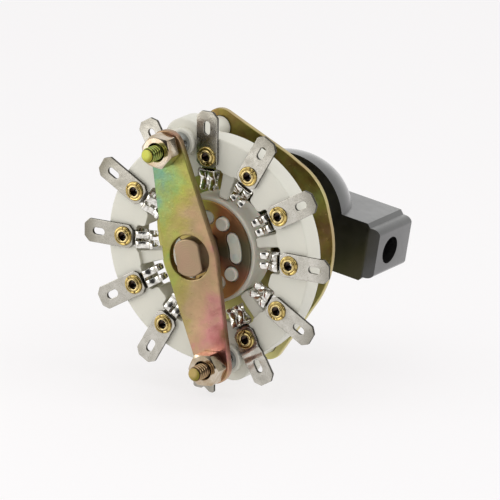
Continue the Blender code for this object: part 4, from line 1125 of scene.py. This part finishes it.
# %% [markdown]
# The rear strap and the front plate are punched from steel and zinc plated. Both outlines
# are what a tight band round a few circles would give: a large one in the middle and a
# small one at each stud. The plate has two more, which fill out two of its long sides.


# %% The strap and the front plate
def band(middle, ends, *more):
    """A band round a circle in the middle, one at each stud, and any more."""
    return densify(hull_of([(0, 0, middle), (*UPPER, ends), (*LOWER, ends), *more]), 2.0)


STRAP_MIDDLE, STRAP_ENDS, STRAP_BORE = 8.1, 4.8, 5.9
PLATE_RADIUS, PLATE_EAR = 26.9, 4.95
STUD_HOLE, BUSHING_HOLE, SINK_HOLE, PIN_HOLE, POST_HOLE = 2.25, 7.3, 2.9, 1.35, 2.25
stud_holes = [ring(STUD_HOLE, 32, centre) for centre in (UPPER, LOWER)]
strap = plate([band(STRAP_MIDDLE, STRAP_ENDS), ring(STRAP_BORE, 96)] + stud_holes,
              STRAP_FRONT, STRAP_BACK, edge=0.3, steps=5)
build("zinc_strap", [strap], "frame", ["rear_strap"], STRAP_ZINC)
fullness = [(*clock(12.0, angle), 15.8) for angle in (53.0, 233.0)]
pin_spot, post_spot = clock(10.0, 345.0), (-9.84, 15.06)
holes = [ring(BUSHING_HOLE, 72), ring(SINK_HOLE, 40, UPPER), ring(SINK_HOLE, 40, LOWER),
         ring(PIN_HOLE, 24, pin_spot), ring(POST_HOLE, 32, post_spot)]
front = plate([band(PLATE_RADIUS, PLATE_EAR, *fullness)] + holes, 0.0, PLATE_BACK,
              edge=0.25, steps=5)
build("mounting_plate", [front], "frame", ["front_plate"], PLATE_ZINC)

# %% [markdown]
# Behind a panel, the plate seats flat, and its threaded bushing comes through with a washer
# and a wide thin nut. The index work sits between plate and wafer: a star wheel with twelve
# notches, and a spring that clicks into them. The spring, its post and the stop pin are
# simple shapes that can't be told from the plain solids, so those stay and only get their
# finish.

# %% The bushing and the index work
BUSHING_RADIUS, BUSHING_BORE = 7.0, 5.2
flange = revolve(soften([(BUSHING_BORE, 2.5), (8.2, 2.5), (8.2, 1.7), (6.9, 1.7),
                         (6.6, 1.0), (6.6, -1.0), (BUSHING_BORE, -1.0)], 0.15, 4),
                 count=96, closed=True)
barrel = screw_thread(BUSHING_RADIUS, -10.5, 1.5, 0.75, (0.0, 0.0), 96, 0.35, BUSHING_BORE)
build("threaded_bushing", [flange, barrel], "frame", ["panel_bushing"], ZINC)
build("flat_washer", [sleeve_shell(9.6, 7.2, -1.1, -0.1, (0, 0), 0.2, 96)], "frame",
      ["panel_washer"], ZINC)
build("thin_nut", [hexagon_nut(19.0, 7.1, -4.3, -1.2, (0, 0), -0.2, 180)], "frame",
      ["panel_nut"], ZINC, crease=22.0)


def flats_loop(clearance=0.0):
    """The shaft's section: two arcs and two flats 7.5 mm apart."""
    radius, half = SHAFT_RADIUS + clearance, FLAT_HALF + clearance
    edge = math.degrees(math.acos(half / radius))
    side = np.linspace(edge, 180.0 - edge, 25)
    return clock(radius, np.concatenate([side, side + 180.0]) + SHAFT_CLOCK)


FLAT_HALF = 3.75
STAR_RADIUS, NOTCH_DEPTH, NOTCH_CLOCK = 11.5, 0.8, 75.0
angle = np.arange(0.0, 360.0, 1.5)
wave = 0.5 + 0.5 * np.cos(np.radians(12 * (angle - NOTCH_CLOCK)))
star = clock(STAR_RADIUS - NOTCH_DEPTH * wave, angle)
wheel = plate([star, flats_loop(0.1)], 4.3, 6.7, edge=0.2)
hub = plate([ring(7.0, 64), flats_loop(0.15)], 2.9, 5.5, edge=0.2)
lug = plate([soften([(-1.3, 6.0), (1.3, 6.0), (1.3, 11.1), (-1.3, 11.1)], 0.4)], 2.9, 5.5,
            edge=0.2)
build("star_wheel", [wheel, hub, spin(lug, 180.0)], "rotor", ["index_wheel"],
      SPRING_STEEL)
for name, finish in (("index_spring", SPRING_STEEL), ("index_post", ZINC),
                     ("stop_pin", ZINC)):
    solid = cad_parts[name]
    solid.data.materials.clear()
    solid.data.materials.append(finish)
    print(name, "keeps its solid")

# %% [markdown]
# The shaft is turned steel with two flats milled on it behind the bushing, so what sits on
# the flats turns with it. Its end shows in the strap's hole, with the lathe's fine rings.

# %% The shaft
milled = plate([flats_loop()], 2.7, SHAFT_END, edge=0.35, steps=5)
round_part = revolve([(0.0, -28.4), (4.4, -28.4), (4.95, -27.9), (5.0, -27.6), (5.0, 2.7),
                      (4.8, 2.9), (0.0, 2.9)], count=96)
build("turned_shaft", [milled, round_part], "rotor", ["shaft"], SHAFT_ZINC)

# %% [markdown]
# The rotor's drum is moulded in white plastic. Four curved bosses and four pegs stand up
# from it through a plated disc, and their ends are pressed over to hold it. The bosses show
# two faint round marks where the mould's pins pushed them out.


# %% The rotor
def window_loop(clearance, middle):
    """A curved window or boss: two arcs about the shaft closed by half circles. Each point
    of a half circle is the cap's radius from the arc's end, at an angle from 0 to 180."""
    radius, cap_radius, reach = WINDOW_MIDDLE, WINDOW_CAP - clearance, WINDOW_REACH
    sweep = np.linspace(-reach, reach, 17)
    outer = clock(radius + cap_radius, middle + sweep)
    inner = clock(radius - cap_radius, middle - sweep)
    a = np.linspace(0.0, np.pi, 12)[1:-1, None]
    caps = []
    for side in (1, -1):
        end = math.radians(middle + side * reach)
        outward = np.array([-math.sin(end), math.cos(end)]) * side
        onward = np.array([-math.cos(end), -math.sin(end)]) * side
        centre = clock(radius, math.degrees(end))
        caps.append(centre + cap_radius * (np.cos(a) * outward + np.sin(a) * onward))
    return np.concatenate([outer, caps[0], inner, caps[1]])


WINDOW_MIDDLE, WINDOW_CAP = 8.9, 2.0
WINDOW_REACH = 28.0 - math.degrees(WINDOW_CAP / WINDOW_MIDDLE)
MIDDLES = [77.5 + 90 * i for i in range(4)]
PEGS = [clock(9.4, 32.5 + 90 * i) for i in range(4)]
drum = revolve([(0.0, 6.9), (7.8, 6.9), (8.0, 7.1), (8.0, 11.1), (13.9, 11.1), (14.2, 11.4),
                (14.2, 19.05), (14.1, 19.25), (13.9, 19.37), (13.4, 19.38), (0.0, 19.38)],
               count=144)
bosses = [plate([window_loop(0.25, middle)], 18.6, 20.28, edge=0.22, steps=5)
          for middle in MIDDLES]
marks = [revolve([(0.0, 20.2), (0.95, 20.2), (0.95, 20.3), (0.88, 20.33), (0.0, 20.33)],
                 clock(WINDOW_MIDDLE, middle + side * WINDOW_REACH), 32)
         for middle in MIDDLES for side in (-1, 1)]
pegs = [revolve([(0.0, 18.6), (1.8, 18.6), (1.8, 20.9), (1.74, 21.1), (1.58, 21.2),
                 (1.3, 21.2), (1.1, 21.1), (0.0, 21.08)], spot, 48) for spot in PEGS]
build("white_drum", [drum] + bosses + marks + pegs, "rotor", ["rotor_drum"], NYLON)
disc = plate([ring(DISC_RADIUS, 144), flats_loop(0.15)]
             + [window_loop(0.0, middle) for middle in MIDDLES]
             + [ring(2.1, 40, spot) for spot in PEGS], DISC_FRONT, DISC_BACK, edge=0.14)
build("clamping_disc", [disc], "rotor", ["rotor_disc"], DISC_ZINC)
half, tip = 2.3, 19.1
blade = plate([soften(mirrored([(half, 7.0), (half, tip - 0.8), (half - 0.8, tip)]), 0.3)],
              18.9, 19.42, 0.12)
build("contact_blade", [spin(blade, 180.0)], "rotor", ["rotor_blade"], SILVER)

# %% [markdown]
# The knob is an oval dome with a bar across it, the grip that points to the step. The two
# are one moulding, so they are joined with a Boolean union. The rear face, a slant at the
# bar's tip, a ring-shaped recess and the holes for the shaft and the set screw are then cut.
# Fine meshes go in, because a Boolean keeps their curves as they are. The dome's profile is
# fuller than a quarter ellipse: with the power n, its width is cos(a) to the power 2/n and
# its height is sin(a) to the power 2/n.


# %% The knob
DOME_LONG, DOME_SHORT, DOME_LONG_CLOCK, DOME_POWER = 21.2, 18.4, 57.0, 2.17
DOME_RIM, DOME_HEIGHT = -15.3, 17.0
BAR_TIP, HEEL_SLANT = 31.0, math.radians(12.0)
SCREW_AXIS, FAR = KNOB_BACK - 7.5, 70.0


def carve(thing, name, shell, operation="DIFFERENCE"):
    """Cuts a shell out of an object, or joins it on, with a Boolean."""
    cutter = build(name, [shell], "rotor", [], PHENOLIC)
    modifier = thing.modifiers.new("cut", "BOOLEAN")
    modifier.operation, modifier.object = operation, cutter
    bpy.context.view_layer.update()
    graph = bpy.context.evaluated_depsgraph_get()
    mesh = bpy.data.meshes.new_from_object(thing.evaluated_get(graph))
    thing.modifiers.clear()
    thing.data = mesh
    bpy.data.objects.remove(cutter)


def block(wide, high, front, back):
    """A sharp block about the shaft's axis."""
    return plate([[(-wide, -high), (wide, -high), (wide, high), (-wide, high)]], front, back,
                 0.01, 2)


def along_bar(shell):
    """A shell turned from the shaft's axis to the set screw's, which runs along the bar."""
    x, y, z = shell[0].T
    return (np.stack([x, SCREW_AXIS + z, y], -1), *shell[1:])


def bar_loop():
    """The bar seen from the front: flanks, a small step at the shoulder, a rounded nose, and
    a round end within the dome."""
    half, nose_half, shoulder, bar_step, back = 8.0, 5.3, 27.2, 1.1, 19.5
    nose = BAR_TIP - shoulder
    a = np.linspace(0.0, np.pi / 2, 16)
    bend = np.stack([nose_half + (half - bar_step - nose_half) * np.cos(a),
                     BAR_TIP - 0.6 * nose + 0.6 * nose * np.sin(a)], -1)
    side = np.concatenate([[(half, shoulder), (half - bar_step, shoulder + 0.25 * nose)],
                           bend])
    end = math.asin(half / back)
    a = np.linspace(-end, end, 15)
    rear = np.stack([back * np.sin(a), -back * np.cos(a)], -1)
    return np.concatenate([rear, side, (side * (-1, 1))[::-1]])


a = np.linspace(0.0, np.pi / 2, 40)
power = 2 / DOME_POWER
curve = np.stack([np.cos(a) ** power, DOME_RIM - DOME_HEIGHT * np.sin(a) ** power], -1)
dome, dome_faces = revolve(np.concatenate([[(0.0, -13.0), (0.995, -13.0), (1.0, -13.1)],
                                           curve]), count=160)
dome = spin((dome * (DOME_SHORT, 1.0, DOME_LONG), dome_faces), DOME_LONG_CLOCK - KNOB_CLOCK)
points, faces = block(FAR, 5.0, -0.75, 0.75)
x, y, z = points.T
c, s = math.cos(HEEL_SLANT), math.sin(HEEL_SLANT)
heel = (np.stack([x, KNOB_BACK + c * y - s * z, BAR_TIP + s * y + c * z], -1), faces)
mouth = revolve([(0.0, 33.0), (3.7, 33.0), (3.7, 15.0), (2.2, 15.0), (2.2, 0.0),
                 (0.0, 0.0)], count=64)
knob = build("black_knob", [dome], "rotor", [], PHENOLIC)
carve(knob, "bar", plate([bar_loop()], KNOB_FRONT, -12.6, 0.9, 8), "UNION")
carve(knob, "rear_cut", block(FAR, FAR, KNOB_BACK, -5.0))
carve(knob, "heel_cut", heel)
carve(knob, "recess_cut", revolve([(10.5, -13.4), (17.5, -13.4), (17.5, -16.4),
                                   (10.5, -16.4)], count=96, closed=True))
carve(knob, "bore_cut", revolve([(0.0, -13.0), (5.1, -13.0), (5.1, -28.5), (0.0, -28.5)],
                                count=96))
carve(knob, "mouth_cut", along_bar(mouth))

# %% [markdown]
# The knob was carved upright, with its bar at 12 o'clock, and is turned in its mesh to where
# the switch was left. The set screw that holds it to the shaft sits deep in the bar.

# %% Turn the knob and add its screw
mesh = knob.data
mesh.transform(Matrix.Rotation(math.radians(-KNOB_CLOCK), 4, "Y"))
bpy.data.objects.remove(knob)
clean(mesh, 2e-6, 1e-7)
finish_piece("black_knob", mesh, "rotor", ["knob"], PHENOLIC, 30.0)
screw = along_bar(screw_thread(2.0, 5.2, 13.2, 0.7, (0.0, 0.0), 40, 0.25))
build("set_screw", [spin(screw, KNOB_CLOCK)], "rotor", ["knob_screw"],
      SPRING_STEEL)

# %% [markdown]
# The switch is shown in a light tent: soft light from all round, on a pale floor. The
# camera looks down a little at its rear from the left, from far off, so that lines that are
# parallel stay nearly so.

# %% Camera
AZIMUTH, ELEVATION, ROLL = map(math.radians, (211.58, 15.85, 0.77))
DISTANCE, FOCAL_PIXELS, PICTURE, SENSOR = 1.5, 5800.6, 500, 36.0
TARGET = Vector((0, 0.02055, 0))
to_camera = Vector((math.cos(ELEVATION) * math.sin(AZIMUTH),
                    -math.cos(ELEVATION) * math.cos(AZIMUTH), math.sin(ELEVATION)))
right = (-to_camera).cross(Vector((0, 0, 1))).normalized()
up = right.cross(-to_camera)
rolled_right = right * math.cos(ROLL) + up * math.sin(ROLL)
rolled_up = up * math.cos(ROLL) - right * math.sin(ROLL)
camera_data = bpy.data.cameras.new("camera")
camera_data.sensor_width = SENSOR
camera_data.lens = FOCAL_PIXELS * SENSOR / PICTURE
camera_data.shift_x, camera_data.shift_y = 0.0891, 0.00136
camera_data.clip_start, camera_data.clip_end = 0.05, 20.0
camera = bpy.data.objects.new("camera", camera_data)
bpy.context.scene.collection.objects.link(camera)
axes = Matrix((rolled_right, rolled_up, to_camera)).transposed()
camera.matrix_world = Matrix.Translation(TARGET + to_camera * DISTANCE) @ axes.to_4x4()
bpy.context.scene.camera = camera
print("lens", round(camera_data.lens, 1), "mm")


# %% [markdown]
# A metal shows what is around it. If everything around is white it looks like chalk, so the
# world has a dark part where the photographer stands, which only reflections see. To the
# camera the world is plain white, as the tent is. The floor gets its near-white from an
# extra glow that only camera rays see, and still takes the switch's soft shadow.


# %% World, floor and lamps
def make_world():
    """White to the camera. For reflections, white fading to dark grey round the direction
    of the camera. For the light that falls on the parts, an even pale grey."""
    world = bpy.data.worlds.new("tent")
    bpy.context.scene.world = world
    world.use_nodes = True
    tent = Nodes(world.node_tree)
    tent.tree.nodes.clear()
    facing = tent.along(tent.add("TexCoord").outputs["Generated"], tuple(DARK_SIDE))
    shade = tent.ramp(tent.spread(facing, 0.3, 1.0), (0.0, 1.0, 1.0, 0.99, 1.0),
                      (0.42, 0.72, 0.72, 0.71, 1.0), (0.68, 0.3), (0.88, 0.04))
    rays = tent.add("LightPath").outputs
    colour = tent.mix(rays["Is Glossy Ray"], EVEN_LIGHT, shade)
    colour = tent.mix(rays["Is Camera Ray"], colour, BACKDROP)
    seen = tent.math("MAXIMUM", rays["Is Glossy Ray"], rays["Is Camera Ray"])
    strength = tent.math("ADD", tent.math("MULTIPLY", seen, 1.0 - WORLD_LIGHT), WORLD_LIGHT)
    background = tent.add("Background", {0: colour, 1: strength})
    tent.add("OutputWorld", {0: background.outputs[0]})


def lamp(name, way, distance, size, watts, colour=(1.0, 1.0, 1.0)):
    """A square lamp in a direction from the switch and at a distance, facing it."""
    data = bpy.data.lights.new(name, "AREA")
    data.shape, data.size, data.energy, data.color = "SQUARE", size, watts, colour
    thing = bpy.data.objects.new(name, data)
    bpy.context.scene.collection.objects.link(thing)
    way = Vector(way).normalized()
    thing.location = Vector((0, 0.02, 0)) + way * distance
    thing.rotation_mode = "QUATERNION"
    thing.rotation_quaternion = (-way).to_track_quat("-Z", "Y")
    return thing


def make_floor():
    """A wide pale floor. It lights the parts from below as pale paper does. Camera and
    reflection rays see a dimmer lit colour with a glow that lifts it to the backdrop's
    near-white, so that the shadow stays soft."""
    finish = Finish("paper", Base_Color=(0.82, 0.82, 0.81, 1.0), Roughness=0.8)
    rays = finish.add("LightPath").outputs
    dim = finish.add("BsdfDiffuse", {"Color": (0.26, 0.26, 0.26, 1.0)})
    glow = finish.add("Emission", {0: FLOOR_GLOW, 1: 1.0})
    lifted = finish.add("AddShader", {0: dim.outputs[0], 1: glow.outputs[0]})
    seen = finish.math("MAXIMUM", rays["Is Camera Ray"], rays["Is Glossy Ray"])
    mix = finish.add("MixShader", {0: seen, 1: finish.shader.outputs[0],
                                   2: lifted.outputs[0]})
    finish.link(mix.outputs[0], finish.output.inputs[0])
    mesh = bpy.data.meshes.new("floor")
    rim = np.insert(ring(FLOOR_RADIUS, 96), 2, FLOOR_Z, axis=1)
    mesh.from_pydata(rim.tolist(), [], [list(range(96))])
    mesh.materials.append(finish.material)
    floor = bpy.data.objects.new("floor", mesh)
    bpy.context.scene.collection.objects.link(floor)


DARK_SIDE = (to_camera + Vector((0.0, 0.0, 0.1))).normalized()
BACKDROP, EVEN_LIGHT = (0.965, 0.955, 0.960, 1.0), (0.98, 0.98, 1.0, 1.0)
WORLD_LIGHT, FLOOR_RADIUS, FLOOR_Z = 0.66, 4.0, -0.0395
FLOOR_GLOW = (0.72, 0.705, 0.705, 1.0)
make_world()
make_floor()
lamp("near_left", (0.7, 0.66, 0.05), 0.27, 0.2, 0.27, (1.0, 0.98, 0.95))
lamp("high_right", (-0.75, -0.1, 0.7), 0.9, 0.6, 2.0)
lamp("top", (0.1, 0.35, 1.0), 0.9, 0.7, 1.2)
bpy.context.scene.view_settings.view_transform = "Standard"

# %% [markdown]
